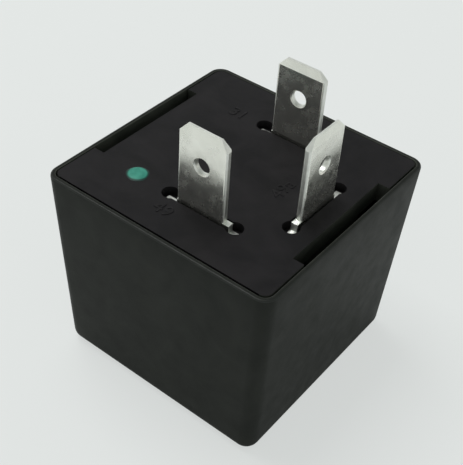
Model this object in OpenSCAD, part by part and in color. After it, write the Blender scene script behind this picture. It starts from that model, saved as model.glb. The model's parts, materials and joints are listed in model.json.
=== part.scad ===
// Three-blade automotive flasher relay.
//
// It stands on the closed end of its moulded cover with the blades up.
// The origin is the centre of that closed end, +Z runs towards the blades.
// The base plate closes the cover and carries everything else: the terminals,
// the magnet system between the two row blades, and the circuit board that
// stands behind the yoke.

/* [Cover] */
// Width of the cover across its open rim, along X
body_w = 30.6; // [27:0.2:36]
// Depth of the cover across its open rim, along Y
body_d = 30.6; // [27:0.2:36]
// Height of the cover from its closed end to its rim
cover_h = 26; // [24:0.5:32]
// Inward lean of each side wall over the full height
draft = 1.03; // [0.7:0.1:1.2]
// Radius of the upright corners at the rim
corner_r = 1.7; // [1.6:0.1:3.5]
// Radius of the edge round the closed end
end_edge_r = 1.5; // [0.6:0.1:1.5]
// Thickness of the side walls and of the closed end
wall_t = 1.1; // [1:0.05:1.25]
// Thickness of the rim outside the base plate
rim_t = 0.6; // [0.4:0.05:0.7]

/* [Base plate] */
// Thickness of the base plate
base_t = 2.4; // [2:0.1:3]
// Gap between the base plate's edge and the rim
seam = 0.2; // [0.1:0.05:0.25]
// Length of the recess in each X edge, for the releasing tool
recess_l = 16.4; // [12:0.2:20]
// Distance of the recess floor from the plate's edge
recess_d = 1.4; // [0.9:0.05:1.4]
// Width of the snap tongues and of the catches they hold
snap_w = 10; // [6:0.5:13]
// Thickness of the snap tongues
tongue_t = 1; // [0.8:0.1:1.2]
// Reach of each snap tongue below the plate
tongue_h = 5; // [4:0.25:6]
// Reach of the snap noses and of the catches in the cover
snap_d = 0.5; // [0.35:0.05:0.6]
// Diameter of the green coding dot
dot_d = 2.3; // [1.6:0.1:3.2]

/* [Blades] */
// Width of the three plug-in blades
blade_w = 6.3; // [6:0.1:6.6]
// Thickness of the blades and of the strip they are stamped from
blade_t = 0.8; // [0.6:0.05:1]
// Height of the blades above the base plate
blade_h = 10.2; // [8:0.1:13]
// Radius of the blades' long edges
blade_edge = 0.25; // [0.1:0.05:0.25]
// Width of the chamfer on each tip corner
tip_w = 1; // [0.5:0.1:1.6]
// Height of the chamfer on each tip corner
tip_h = 1.15; // [0.6:0.05:1.8]
// Height of the coined bevel that thins the tip
tip_bevel = 1; // [0.5:0.1:1.6]
// Diameter of the detent hole in each blade
detent_d = 1.9; // [1.5:0.1:2.4]
// Height of the detent holes above the base plate
detent_z = 5.85; // [4:0.05:7]

/* [Pin pattern] */
// Centre of the two row blades along X
row_x = 1.5; // [1.2:0.1:1.8]
// Distance between the two row blades
row_pitch = 17; // [16.6:0.1:19]
// Distance of the cross blade's centre from the side of the cover
cross_inset = 5.1; // [4.8:0.05:5.1]

/* [Terminal feet] */
// Width of the shouldered foot that the base plate holds
foot_w = 9.8; // [9:0.1:10.4]
// Depth of the shoulders below the plate's outer face
foot_depth = 0.9; // [0.6:0.05:1.2]
// Diameter of the pocket over each shoulder
pocket_d = 2; // [1.6:0.1:2.3]
// Width of the relief slot between the pockets
relief_w = 1.4; // [1.2:0.05:1.6]
// Height of the legs that run from the row feet to the board
leg_h = 2.2; // [1.8:0.1:2.6]
// Width of the cross terminal's leg
cross_leg_w = 5; // [4:0.2:5.6]

/* [Magnet] */
// Distance of the bobbin's flanges inside the yoke's edges
flange_side = 0.9; // [0.8:0.05:1.4]
// Thickness of the bobbin's flanges
flange_t = 1; // [0.8:0.1:1.3]
// Diameter of the core, as a share of the winding's
core_share = 0.423; // [0.36:0.003:0.47]
// Wall of the bobbin's hub
hub_t = 1; // [0.7:0.05:1.2]
// Distance of the winding inside the flanges' edges
winding_edge = 0.4; // [0.3:0.05:1]
// Diameter of the pole face
pole_d = 7.2; // [6:0.1:8]
// Thickness of the pole face
pole_t = 1; // [0.8:0.1:1.3]
// Thickness of the yoke strip
yoke_t = 1.5; // [1.2:0.05:1.6]
// Width of the yoke strip
yoke_w = 13; // [11.8:0.1:13.8]
// Room under the pole face for the armature and its contact
floor_room = 4.8; // [4.6:0.1:6]

/* [Armature] */
// Thickness of the armature
arm_t = 1.2; // [1:0.05:1.3]
// Width of the armature
arm_w = 10; // [9:0.2:10.6]
// Angle the armature drops through when the coil is off, in degrees
open_angle = 3.6; // [2:0.2:4]
// Thickness of the contact spring
leaf_t = 0.25; // [0.2:0.05:0.3]
// Width of the contact spring
leaf_w = 5; // [4:0.2:5.4]
// Diameter of the two contacts
contact_d = 2.4; // [2:0.1:2.6]
// Thickness of the head of each contact
contact_t = 0.8; // [0.6:0.05:0.9]
// Outer diameter of the return spring
spring_d = 2.5; // [2.2:0.1:2.6]
// Diameter of the return spring's wire
spring_wire = 0.3; // [0.25:0.05:0.35]
// Turns in the body of the return spring
spring_turns = 13; // [8:1:16]

/* [Circuit board] */
// Thickness of the circuit board
board_t = 1.6; // [1.2:0.1:1.7]
// Gap between the circuit board and the cover at each side
board_side = 1.37; // [1.1:0.01:1.6]
// Room behind the circuit board for the parts on its back
back_room = 3.32; // [3.1:0.02:3.5]
// Gap on both sides of the timing capacitor, to the yoke and to the cover
can_side = 0.9; // [0.6:0.05:1.2]
// Length of the timing capacitor
can_l = 7; // [5:0.2:9]
// Diameter of the resistors
resistor_d = 2.2; // [1.8:0.1:2.4]
// Length of the resistors
resistor_l = 6.2; // [5:0.1:6.8]
// Diameter of the component leads
lead_d = 0.6; // [0.5:0.05:0.7]

/* [Hidden] */

$fn = 48;
hull_fn = 32;
eps = 0.01;

// Clearances between pieces that fit together
foot_clear = 0.05;   // terminal foot in its slot
snap_clear = 0.1;    // snap nose under its catch
pole_clear = 0.05;   // closed armature to the pole face
hinge_clear = 0.03;  // armature to the yoke's edge
stop_clear = 0.03;   // open armature to its stop
contact_clear = 0.04; // closed contacts
core_clear = 0.05;   // core in the bobbin
wrap_clear = 0.15;   // notches and edges of the armature
hook_clear = 0.1;    // yoke in the base plate's hooks
board_clear = 0.1;   // tabs in the circuit board
side_room = 0.5;     // beside the yoke and the hooks, towards the row terminals

// Heights, from the closed end up
face_z = cover_h;
under_z = cover_h - base_t;
pad_h = 1.3;
yoke_top_z = under_z - pad_h;
yoke_z = yoke_top_z - yoke_t;
pole_z = wall_t + floor_room;
bobbin_z = pole_z + pole_t;
bobbin_l = yoke_z - bobbin_z;
arm_z = pole_z - pole_clear;
hinge_z = arm_z + hinge_clear;

// Places along X: forward from the wall behind the circuit board to the yoke,
// and inward from the cross terminal. The bobbin takes the room between them.
stop_t = 0.9;
stop_gap = 0.35;
yoke_gap = 0.25;
spring_gap = 0.55;
board_gap = 0.4;
back_x = back_room - (body_w / 2 - draft - wall_t);
board_x = back_x + board_t;
spring_x = board_x + board_gap + spring_d / 2;
hinge_x = spring_x + spring_d / 2 + spring_gap;
cross_x = body_w / 2 - cross_inset;
cross_in_x = cross_x - blade_t / 2;
front_x = cross_in_x - stop_gap - stop_t;
flange_w = yoke_w - 2 * flange_side;
flange_l = front_x - hinge_x - yoke_t - yoke_gap;
magnet_x = front_x - flange_l / 2;
winding_d = min(flange_w, flange_l) - 2 * winding_edge;
core_d = core_share * winding_d;
row_y = row_pitch / 2;

// Edge radius inside the closed end
floor_edge = 0.3;

// Stop arms of the bobbin, and the core's riveted neck
stop_w = 1.8;
stop_reach = 1.2;
stop_lip = 0.8;
neck_d = core_d - 1.4;
neck_head_t = 0.5;

// Base plate
plate_w = body_w - 2 * (rim_t + seam);
plate_d = body_d - 2 * (rim_t + seam);
plate_r = corner_r - rim_t - seam;
recess_x = plate_w / 2 - recess_d;
tongue_x = recess_x - 0.2;
nose_t = 0.8;
nose_z = under_z - tongue_h;
nose_x = half_w(nose_z) - wall_t - snap_clear;
catch_t = 0.8;
catch_z = nose_z + nose_t + snap_clear;
catch_x = half_w(catch_z) - wall_t - snap_d;
pocket_depth = foot_depth + 0.2;
pocket_u = foot_w / 2 - pocket_d / 4;
block_h = 1.8;
block_end = 1.1;
block_wall = row_y - blade_t / 2 - side_room - yoke_w / 2;
cross_wall = 0.9;
rib_w = 1.2;
hook_w = 6;
hook_under = 0.05;
hook_z = yoke_z - 0.7;
hook_y = yoke_w / 2 + hook_clear;
hook_t = row_y - blade_t / 2 - side_room - hook_y;
hook_lip = 0.65;
dot_depth = 0.25;
dot_x = -body_w / 2 + 7.6;
dot_y = -body_d / 2 + 6.8;

// Terminals
foot_z = face_z - foot_depth;
row_foot_z = under_z - 3.3;
cross_foot_z = under_z - block_h;
tab_step = 0.4;
tab_h = leg_h - 2 * tab_step;
tab_z = row_foot_z - leg_h / 2;
tab_out = 0.75;
step_w = 0.7;
step_rise = 0.1;
detent_edge = 0.15;

// Cross terminal's contact tongue
leaf_z = arm_z - arm_t;
fixed_face_z = leaf_z + contact_t + contact_clear;
fixed_t = contact_t + 0.2;
tongue_z = fixed_face_z + fixed_t;
contact_edge = 0.1;
shank_d = contact_d / 2;
bend_r = 0.25;
contact_x = cross_in_x + blade_t + bend_r + shank_d / 2;
tongue_l = contact_x - cross_in_x + contact_d / 2 + contact_edge;

// Armature
arm_front_x = front_x - wrap_clear;
arm_l = arm_front_x - hinge_x;
stop_z = arm_z - arm_l * sin(open_angle) - arm_t * cos(open_angle) - stop_clear;
lug_w = 2;
lug_h = arm_t + 0.4;
neck_w = yoke_w - 2 * lug_w - 2 * wrap_clear;
tail_w = 3.2;
leaf_tail = 4.8;
leaf_tip = contact_d / 2 + 0.1;
rivet_d = 1.5;
rivet_head_d = 2.4;
rivet_head_t = 0.5;
rivet_place = [magnet_x - 2.2, magnet_x + 2.8];

// Return spring
ring_r = (spring_d - spring_wire) / 2 - 0.15;
eye_d = spring_wire + 0.85;
eye_x = spring_x + ring_r - 0.12;
spring_lug_t = 1;
spring_lug_z = yoke_z - 4.6;
tail_end = spring_x - 0.74 * ring_r + spring_wire / 2 + 0.1;
tail_z = arm_z - arm_t / 2 + (hinge_x - spring_x) * sin(open_angle);
ring_low = tail_z - 0.08 + ring_r - (arm_t / 2 + spring_wire / 2);
ring_high = spring_lug_z + spring_lug_t / 2 - ring_r + spring_lug_t / 2 + spring_wire / 2 + 0.05;

// Circuit board
board_w = body_d - 2 * (draft + wall_t + board_side);
board_z0 = wall_t + 1.9;
board_z1 = under_z - 2.6;
solder_h = 0.7;
solder_foot = 0.5;
axial_z = board_z0 + 1.8;
pitch = 10.16;
yoke_tab_z = axial_z + pitch + lead_d / 2 + solder_foot + 0.1;
yoke_tab_h = 2.4;
lead_hole = lead_d + 0.3;
lead_out = 1;
seat_gap = 0.15;

// Sizes of the parts on the board
can_d = half_d(board_z0) - wall_t - yoke_w / 2 - 2 * can_side;
can_pitch = 0.4 * can_d;
can_seat = 1.2;
can_groove = 0.5;
disc_pitch = 2.5;
disc_seat = 0.6;
disc_d = 4.6;
disc_t = 2;
disc_edge = 0.3;
diode_d = 2.4;
diode_l = 4.6;
resistor_cap = 1.4;
cap_step = 0.15;
shunt_pitch = 5;
shunt_d = 1;
shunt_rise = 1.9;
chip_size = [1.45, 4.9, 3.9];
chip_lift = 0.15;
chip_foot = 0.25;
chip_leg_w = 0.42;
chip_leg_pitch = 1.27;
chip_leg_out = 0.3;
chip_leg_l = 1;
coil_wire = 0.5;
braid_d = 0.9;
notch_w = 1.4;
notch_place = 2.3;
notch_depth = 0.8;

// Places on the board as [y, z]. The tall parts stand at its side edges, and the
// resistors lie between them and the chip.
can_at = [-yoke_w / 2 - can_side - can_d / 2, board_z0 + 8];
disc_at = [board_w / 2 - 1.6, board_z0 + 8];
chip_at = [0, board_z0 + 6.4];
timing_at = [can_at[0] + resistor_d / 2 + 0.9, axial_z];
diode_at = [disc_at[0] - diode_d / 2 - 1.2, axial_z];
sensing_at = [(timing_at[0] + resistor_d / 2 - chip_size[1] / 2) / 2, axial_z];
supply_at = [(diode_at[0] - diode_d / 2 + chip_size[1] / 2) / 2, axial_z];
shunt_z = nose_z - shunt_d / 2 - 0.5;
coil_pass_y = yoke_w / 2 + 0.6;
coil_hole_y = board_w / 2 - 1.8;
coil_hole_z = yoke_tab_z;
braid_y = -2.9;
braid_hole_z = board_z0 + 1.1;

// Half sizes of the cover's outside at height z
function half_w(z) = body_w / 2 - draft * (1 - z / cover_h);
function half_d(z) = body_d / 2 - draft * (1 - z / cover_h);

// ---------------------------------------------------------------- helpers

// Flat plate with round corners, from z = 0 up
module round_plate(w, d, h, r) {
    linear_extrude(h) {
        square([w - 2 * r, d], center = true);
        square([w, d - 2 * r], center = true);
        for (x = [-1, 1], y = [-1, 1])
            translate([x * (w / 2 - r), y * (d / 2 - r)]) circle(r);
    }
}

// One corner of a moulded shell: upright radius r, edge radius e at the foot
module corner_foot(r, e) {
    rotate_extrude($fn = hull_fn)
        union() {
            square([r - e, e]);
            intersection() {
                translate([r - e, e]) circle(e, $fn = hull_fn);
                square([r, e]);
            }
        }
}

// Drafted box with round corners and a rounded foot, z0 to z1.
// inset is measured inwards from the cover's outside.
module drafted_body(z0, z1, inset, r, e) {
    hull() {
        for (x = [-1, 1], y = [-1, 1]) {
            translate([x * (half_w(z0 + e) - inset - r), y * (half_d(z0 + e) - inset - r), z0])
                corner_foot(r, e);
            translate([x * (half_w(z1) - inset - r), y * (half_d(z1) - inset - r), z1 - eps])
                cylinder(h = eps, r = r, $fn = hull_fn);
        }
    }
}

// Round wire through a list of points, with round bends
module wire(points, d) {
    for (i = [0 : len(points) - 2]) {
        a = points[i];
        b = points[i + 1];
        v = b - a;
        l = norm(v);
        translate(a)
            rotate([0, acos(v[2] / l), atan2(v[1], v[0])])
                cylinder(h = l, d = d, $fn = 24);
        if (i > 0)
            translate(a) sphere(d = d, $fn = 24);
    }
}

// Extrudes an outline drawn in X and Z along Y, centred on y = 0
module along_y(t) {
    translate([0, t / 2, 0]) rotate([90, 0, 0]) linear_extrude(t) children();
}

// Turns what follows into the open position of the armature
module armature_open() {
    translate([hinge_x, 0, arm_z])
        rotate([0, open_angle, 0])
            translate([-hinge_x, 0, -arm_z]) children();
}

// ---------------------------------------------------------------- cover

module cover() {
    catch_l = snap_d + wall_t / 2;
    color([0.12, 0.13, 0.125])
    union() {
        difference() {
            drafted_body(0, cover_h, 0, corner_r, end_edge_r);
            drafted_body(wall_t, under_z, wall_t, corner_r - wall_t, floor_edge);
            translate([0, 0, under_z - eps])
                round_plate(plate_w + 2 * seam, plate_d + 2 * seam, base_t + 2 * eps, corner_r - rim_t);
        }
        // catches that the snap tongues hold, one inside each X wall
        for (s = [-1, 1])
            translate([s * (catch_x + catch_l / 2), 0, catch_z + catch_t / 2])
                cube([catch_l, snap_w, catch_t], center = true);
    }
}

// ---------------------------------------------------------------- base plate

// Slot and pockets for one terminal foot, blade width along X, top at z = 0
module foot_slot(depth) {
    translate([0, 0, -pocket_depth]) {
        linear_extrude(pocket_depth + 1) {
            square([2 * pocket_u, relief_w], center = true);
            for (s = [-1, 1]) translate([s * pocket_u, 0]) circle(d = pocket_d);
        }
    }
    translate([-foot_w / 2 - foot_clear, -blade_t / 2 - foot_clear, -depth])
        cube([foot_w + 2 * foot_clear, blade_t + 2 * foot_clear, depth]);
}

module base_plate() {
    block_l = foot_w + 2 * block_end;
    block_t = blade_t + 2 * block_wall;
    color([0.1, 0.1, 0.11])
    difference() {
        union() {
            translate([0, 0, under_z]) round_plate(plate_w, plate_d, base_t, plate_r);
            // blocks that carry the terminal feet
            for (s = [-1, 1])
                translate([row_x, s * row_y, under_z - block_h / 2])
                    cube([block_l, block_t, block_h + eps], center = true);
            translate([cross_x, 0, under_z - block_h / 2])
                cube([blade_t + 2 * cross_wall, block_l, block_h + eps], center = true);
            // ribs that the yoke seats on
            for (s = [-1, 1])
                translate([hinge_x + rib_w, s * (yoke_w / 2 - 1.5) - rib_w / 2, yoke_top_z])
                    cube([front_x - hinge_x - 1.5 * rib_w, rib_w, pad_h + eps]);
            // hooks that grip the yoke's edges
            for (s = [-1, 1]) {
                translate([magnet_x - hook_w / 2, s * (hook_y + hook_t / 2) - hook_t / 2, hook_z])
                    cube([hook_w, hook_t, under_z - hook_z + eps]);
                translate([magnet_x - hook_w / 2, s * (hook_y - hook_lip / 2) - hook_lip / 2 - eps, hook_z])
                    cube([hook_w, hook_lip + 2 * eps, yoke_z - hook_z - hook_under]);
            }
            // snap tongues behind the recesses
            for (s = [-1, 1]) {
                translate([s * (tongue_x - tongue_t / 2), 0, under_z - tongue_h / 2])
                    cube([tongue_t, snap_w, tongue_h + eps], center = true);
                translate([s * (tongue_x + nose_x) / 2, 0, nose_z])
                    rotate([90, 0, 0]) linear_extrude(snap_w, center = true)
                        snap_nose(s * (nose_x - tongue_x));
            }
        }
        for (s = [-1, 1]) {
            translate([row_x, s * row_y, face_z]) foot_slot(base_t + block_h + 1);
            // recesses in the X edges
            translate([s * (recess_x + plate_w / 2), 0, face_z - base_t / 2])
                cube([plate_w, recess_l, base_t + 1], center = true);
        }
        translate([cross_x, 0, face_z]) rotate([0, 0, 90]) foot_slot(base_t + block_h + 1);
        translate([dot_x, dot_y, face_z - dot_depth]) cylinder(h = 1, d = dot_d + 0.1);
    }
}

// Nose of a snap tongue: flat on top, sloped below so that it rides in
module snap_nose(reach) {
    polygon([
        [-reach / 2 - sign(reach) * eps, 0], [reach / 2 - sign(reach) * 0.2, 0],
        [reach / 2, nose_t - 0.3], [reach / 2, nose_t], [-reach / 2 - sign(reach) * eps, nose_t]
    ]);
}

module coding_dot() {
    color([0.1, 0.55, 0.5])
    translate([dot_x, dot_y, face_z - dot_depth]) cylinder(h = dot_depth - 0.05, d = dot_d);
}

// ---------------------------------------------------------------- terminals

// Outline of the blade and its shouldered foot, blade centre at x = 0
module blade_outline(foot_low) {
    w = blade_w / 2;
    top = face_z + blade_h;
    polygon([
        [-foot_w / 2, foot_low], [foot_w / 2, foot_low],
        [foot_w / 2, foot_z], [w + step_w, foot_z],
        [w + step_w, face_z + step_rise], [w, face_z + step_rise],
        [w, top - tip_h], [w - tip_w, top],
        [-w + tip_w, top], [-w, top - tip_h],
        [-w, foot_z], [-foot_w / 2, foot_z]
    ]);
}

// Section of the strip across its thickness, thinned at the tip
module blade_section(low) {
    t = blade_t / 2;
    top = face_z + blade_h;
    polygon([[-t, low], [t, low], [t, top - tip_bevel], [t / 3, top], [-t / 3, top], [-t, top - tip_bevel]]);
}

// Room for the stamping seen from above: round long edges on the blade only
module blade_plan(low) {
    root = face_z + step_rise;
    translate([0, 0, root]) round_plate(blade_w, blade_t, blade_h, blade_edge);
    translate([-2 * body_w, -blade_t, low]) cube([4 * body_w, 2 * blade_t, root - low]);
}

// Flat stamping in the XZ plane with its blade at x = 0, plus any legs given
module stamped_terminal(foot_low, low) {
    difference() {
        intersection() {
            along_y(blade_t + 1) union() {
                blade_outline(foot_low);
                children();
            }
            rotate([0, 0, 90]) along_y(4 * body_w) blade_section(low);
            blade_plan(low);
        }
        translate([0, 0, face_z + detent_z]) rotate([90, 0, 0]) {
            cylinder(h = blade_t + 1, d = detent_d, center = true);
            for (s = [0, 180])
                rotate([s, 0, 0]) translate([0, 0, blade_t / 2 - detent_edge])
                    cylinder(h = 2 * detent_edge, d1 = detent_d, d2 = detent_d + 4 * detent_edge);
        }
    }
}

// A row terminal runs back to the circuit board through a tabbed leg
module row_terminal() {
    color([0.78, 0.78, 0.76])
    translate([row_x, 0, 0])
        stamped_terminal(row_foot_z, row_foot_z - leg_h - 1) {
            translate([board_x - row_x, row_foot_z - leg_h])
                square([row_x - board_x, leg_h + eps]);
            translate([back_x - tab_out - row_x, tab_z - tab_h / 2])
                square([board_t + tab_out + eps, tab_h]);
        }
}

module terminal_49() { translate([0, -row_y, 0]) row_terminal(); }

module terminal_31() { translate([0, row_y, 0]) row_terminal(); }

// The cross terminal's leg drops past the bobbin and bends out under the contact
module terminal_49a() {
    outer = bend_r + blade_t;
    color([0.78, 0.78, 0.76])
    difference() {
        union() {
            translate([cross_x, 0, 0]) rotate([0, 0, -90])
                stamped_terminal(cross_foot_z, cross_foot_z - 1);
            along_y(cross_leg_w) difference() {
                union() {
                    translate([cross_in_x, tongue_z + outer])
                        square([blade_t, cross_foot_z - tongue_z - outer + eps]);
                    translate([cross_in_x + outer, tongue_z])
                        square([tongue_l - outer, blade_t]);
                    intersection() {
                        translate([cross_in_x + outer, tongue_z + outer]) circle(outer);
                        translate([cross_in_x, tongue_z]) square(outer);
                    }
                }
                translate([cross_in_x + outer, tongue_z + outer]) circle(bend_r);
            }
        }
        translate([contact_x, 0, tongue_z - 1]) cylinder(h = blade_t + 2, d = shank_d);
    }
}

// ---------------------------------------------------------------- magnet

module yoke() {
    lug_y = yoke_w / 2 - lug_w / 2;
    tab_y = yoke_w / 2 - yoke_t / 2;
    color([0.62, 0.63, 0.64])
    difference() {
        union() {
            along_y(yoke_w) {
                translate([hinge_x, hinge_z]) square([yoke_t, yoke_top_z - hinge_z - yoke_t]);
                translate([hinge_x + yoke_t, yoke_z]) square([front_x - hinge_x - yoke_t, yoke_t]);
                intersection() {
                    translate([hinge_x + yoke_t, yoke_z]) circle(yoke_t);
                    translate([hinge_x, yoke_z - eps]) square(yoke_t + 2 * eps);
                }
            }
            // ears that locate the armature
            for (s = [-1, 1])
                translate([hinge_x, s * lug_y - lug_w / 2, hinge_z - lug_h])
                    cube([yoke_t, lug_w, lug_h + eps]);
            // tab through the circuit board
            translate([board_x, tab_y - yoke_t / 2, yoke_tab_z])
                cube([hinge_x - board_x + eps, yoke_t, yoke_tab_h]);
            translate([back_x - tab_out, tab_y - yoke_t / 2, yoke_tab_z + tab_step])
                cube([board_t + tab_out + eps, yoke_t, yoke_tab_h - 2 * tab_step]);
            // lug that holds the return spring
            translate([tail_end, -tail_w / 2, spring_lug_z])
                cube([hinge_x - tail_end + eps, tail_w, spring_lug_t]);
        }
        translate([magnet_x, 0, yoke_z - 1]) cylinder(h = yoke_t + 2, d = neck_d + 2 * core_clear);
        translate([eye_x, 0, spring_lug_z - 1]) cylinder(h = spring_lug_t + 2, d = eye_d, $fn = 24);
        // window that the spring lug is bent out of
        translate([hinge_x - 1 - eps, -tail_w / 2 - 0.2, spring_lug_z - 3.2])
            cube([yoke_t + 2, tail_w + 0.4, 3.2 - eps]);
    }
}

module core() {
    color([0.7, 0.7, 0.72])
    translate([magnet_x, 0, 0]) {
        translate([0, 0, pole_z]) cylinder(h = pole_t, d = pole_d);
        translate([0, 0, bobbin_z - eps]) cylinder(h = bobbin_l + eps, d = core_d);
        translate([0, 0, yoke_z - eps]) cylinder(h = yoke_t + 2 * eps, d = neck_d);
        // closed rivet head over the yoke
        translate([0, 0, yoke_top_z]) cylinder(h = neck_head_t, d1 = neck_d + 1.2, d2 = neck_d + 0.6);
    }
}

module bobbin() {
    hub_d = core_d + 2 * core_clear + 2 * hub_t;
    arm_y = (arm_w - stop_w) / 2;
    color([0.86, 0.85, 0.78])
    difference() {
        union() {
            translate([magnet_x, 0, bobbin_z]) {
                round_plate(flange_l, flange_w, flange_t, 1);
                cylinder(h = bobbin_l, d = hub_d);
                translate([0, 0, bobbin_l - flange_t]) round_plate(flange_l, flange_w, flange_t, 1);
            }
            // stop arms that hook under the armature's front corners
            for (s = [-1, 1]) {
                translate([front_x - stop_reach, s * arm_y - stop_w / 2, bobbin_z])
                    cube([stop_reach + eps, stop_w, flange_t]);
                translate([front_x, s * arm_y - stop_w / 2, stop_z - stop_lip])
                    cube([stop_t, stop_w, bobbin_z + flange_t - stop_z + stop_lip]);
                translate([front_x - stop_reach, s * arm_y - stop_w / 2, stop_z - stop_lip])
                    cube([stop_reach + eps, stop_w, stop_lip]);
            }
        }
        translate([magnet_x, 0, bobbin_z - 1]) cylinder(h = bobbin_l + 2, d = core_d + 2 * core_clear);
        // notches in the upper flange for the coil leads
        for (s = [-1, 1])
            translate([magnet_x - flange_l / 2 + notch_place, s * flange_w / 2, bobbin_z + bobbin_l - flange_t / 2])
                cube([notch_w, notch_depth * 2, flange_t + 1], center = true);
    }
}

module winding() {
    hub_d = core_d + 2 * core_clear + 2 * hub_t;
    l = bobbin_l - 2 * flange_t;
    color([0.72, 0.33, 0.15])
    translate([magnet_x, 0, bobbin_z + flange_t])
        difference() {
            cylinder(h = l, d = winding_d);
            translate([0, 0, -1]) cylinder(h = l + 2, d = hub_d);
        }
}

// Coil leads pass the yoke's sides to the circuit board
module coil_leads() {
    start_z = bobbin_z + bobbin_l - flange_t - 1.2;
    r = winding_d / 2 + coil_wire / 2;
    color([0.6, 0.16, 0.1])
    for (s = [-1, 1])
        swept_wire(eased([
            [magnet_x - r * sin(30), s * r * cos(30), start_z],
            [hinge_x + yoke_t + 1, s * coil_pass_y, start_z - 0.4],
            [hinge_x, s * coil_pass_y, coil_hole_z - 0.6],
            [hinge_x - 1.4, s * coil_hole_y, coil_hole_z],
            [board_x + 0.3, s * coil_hole_y, coil_hole_z],
            [back_x - 0.6, s * coil_hole_y, coil_hole_z]
        ], 4), coil_wire, 8);
}

// ---------------------------------------------------------------- armature

module armature() {
    w = arm_w / 2;
    n = neck_w / 2;
    wide = yoke_w / 2 - 1;
    notch_back = hinge_x - wrap_clear;
    notch_front = hinge_x + yoke_t + wrap_clear;
    color([0.62, 0.63, 0.64])
    armature_open()
        difference() {
            translate([0, 0, arm_z - arm_t]) linear_extrude(arm_t)
                polygon([
                    [tail_end, -tail_w / 2], [notch_back - 1, -tail_w / 2],
                    [notch_back - 1, -wide], [notch_back, -wide],
                    [notch_back, -n], [notch_front, -n], [notch_front, -w],
                    [arm_front_x - 1, -w], [arm_front_x, -w + 1],
                    [arm_front_x, w - 1], [arm_front_x - 1, w],
                    [notch_front, w], [notch_front, n], [notch_back, n],
                    [notch_back, wide], [notch_back - 1, wide],
                    [notch_back - 1, tail_w / 2], [tail_end, tail_w / 2]
                ]);
            for (x = rivet_place)
                translate([x, 0, arm_z - arm_t - 1]) cylinder(h = arm_t + 2, d = rivet_d);
            translate([eye_x, 0, arm_z - arm_t - 1])
                cylinder(h = arm_t + 2, d = eye_d, $fn = 24);
        }
}

// Leaf that carries the moving contact past the armature's front edge
module contact_spring() {
    rear = magnet_x - leaf_tail;
    w = leaf_w / 2;
    color([0.8, 0.6, 0.3])
    armature_open()
        difference() {
            translate([0, 0, leaf_z - leaf_t]) linear_extrude(leaf_t)
                polygon([
                    [rear, -w], [arm_front_x, -w], [contact_x, -leaf_tip],
                    [contact_x + leaf_tip, -leaf_tip], [contact_x + leaf_tip, leaf_tip],
                    [contact_x, leaf_tip], [arm_front_x, w], [rear, w]
                ]);
            for (x = rivet_place)
                translate([x, 0, leaf_z - 1]) cylinder(h = 2, d = rivet_d);
            translate([contact_x, 0, leaf_z - 1]) cylinder(h = 2, d = shank_d);
        }
}

// Flexible copper braid from the contact spring's tail to the circuit board
module contact_braid() {
    low = leaf_z - leaf_t - braid_d / 2 - 0.02;
    start_x = magnet_x - leaf_tail + 0.7;
    drop = (start_x - hinge_x) * sin(open_angle) + 0.05;
    color([0.75, 0.4, 0.22])
    swept_wire(eased([
        [start_x, braid_y / 2, low - drop],
        [start_x - 1.6, braid_y * 0.9, low - drop - 0.2],
        [hinge_x + yoke_t, braid_y, low - drop - 0.4],
        [hinge_x - 0.5, braid_y, low - drop - 0.4],
        [spring_x, braid_y, braid_hole_z],
        [board_x + 0.3, braid_y, braid_hole_z],
        [back_x - 0.8, braid_y, braid_hole_z]
    ], 5), braid_d, 12);
}

// Rivets are flush with the armature's upper face
module spring_rivets() {
    color([0.75, 0.75, 0.74])
    armature_open()
        for (x = rivet_place) {
            translate([x, 0, leaf_z - leaf_t]) cylinder(h = leaf_t + arm_t, d = rivet_d);
            translate([x, 0, leaf_z - leaf_t - rivet_head_t])
                cylinder(h = rivet_head_t, d1 = rivet_d, d2 = rivet_head_d);
        }
}

module moving_contact() {
    color([0.85, 0.84, 0.8])
    armature_open()
        translate([contact_x, 0, leaf_z]) {
            cylinder(h = contact_t, d = contact_d);
            translate([0, 0, -leaf_t - eps]) cylinder(h = leaf_t + 2 * eps, d = shank_d);
            translate([0, 0, -leaf_t - 0.4]) cylinder(h = 0.4, d = shank_d + 0.5);
        }
}

module fixed_contact() {
    color([0.85, 0.84, 0.8])
    translate([contact_x, 0, fixed_face_z]) {
        cylinder(h = fixed_t, d = contact_d);
        translate([0, 0, fixed_t - eps]) cylinder(h = blade_t + 0.2, d = shank_d);
    }
}

// ---------------------------------------------------------------- return spring

// Path of the spring's wire: lower hook, close turns, upper hook
function hook_arc(zc, a0, a1, n) = [
    for (i = [0 : n]) let (a = a0 + (a1 - a0) * i / n)
        [ring_r * cos(a), 0, zc + ring_r * sin(a)]
];

function turns(z0, z1, r, n, steps) = [
    for (i = [1 : n * steps - 1]) let (t = i / (n * steps), a = -90 + 360 * n * t)
        [r * cos(a), r * sin(a), z0 + (z1 - z0) * t]
];

spring_path = concat(
    hook_arc(ring_low, 150, 360 + 80, 18),
    turns(ring_low + ring_r + 0.5, ring_high - ring_r - 0.5,
          (spring_d - spring_wire) / 2, spring_turns, 14),
    hook_arc(ring_high, -80, 210, 18)
);

function unit(v) = v / norm(v);

// Smooth path that rounds every inner point of a list, n steps at each
function eased(p, n) = concat(
    [p[0]],
    [
        for (i = [1 : len(p) - 2], k = [0 : n]) let (
            a = (p[i - 1] + p[i]) / 2,
            b = (p[i] + p[i + 1]) / 2,
            t = k / n
        )
            if (k > 0 || i == 1) a * (1 - t) * (1 - t) + 2 * p[i] * t * (1 - t) + b * t * t
    ],
    [p[len(p) - 1]]
);

// Directions across the path, carried along it without twisting
function carried(path, i, u) =
    i == len(path) ? [] :
    let (
        a = path[max(i - 1, 0)],
        b = path[min(i + 1, len(path) - 1)],
        t = unit(b - a),
        v = unit(u - t * (u * t))
    )
    concat([[t, v]], carried(path, i + 1, v));

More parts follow.
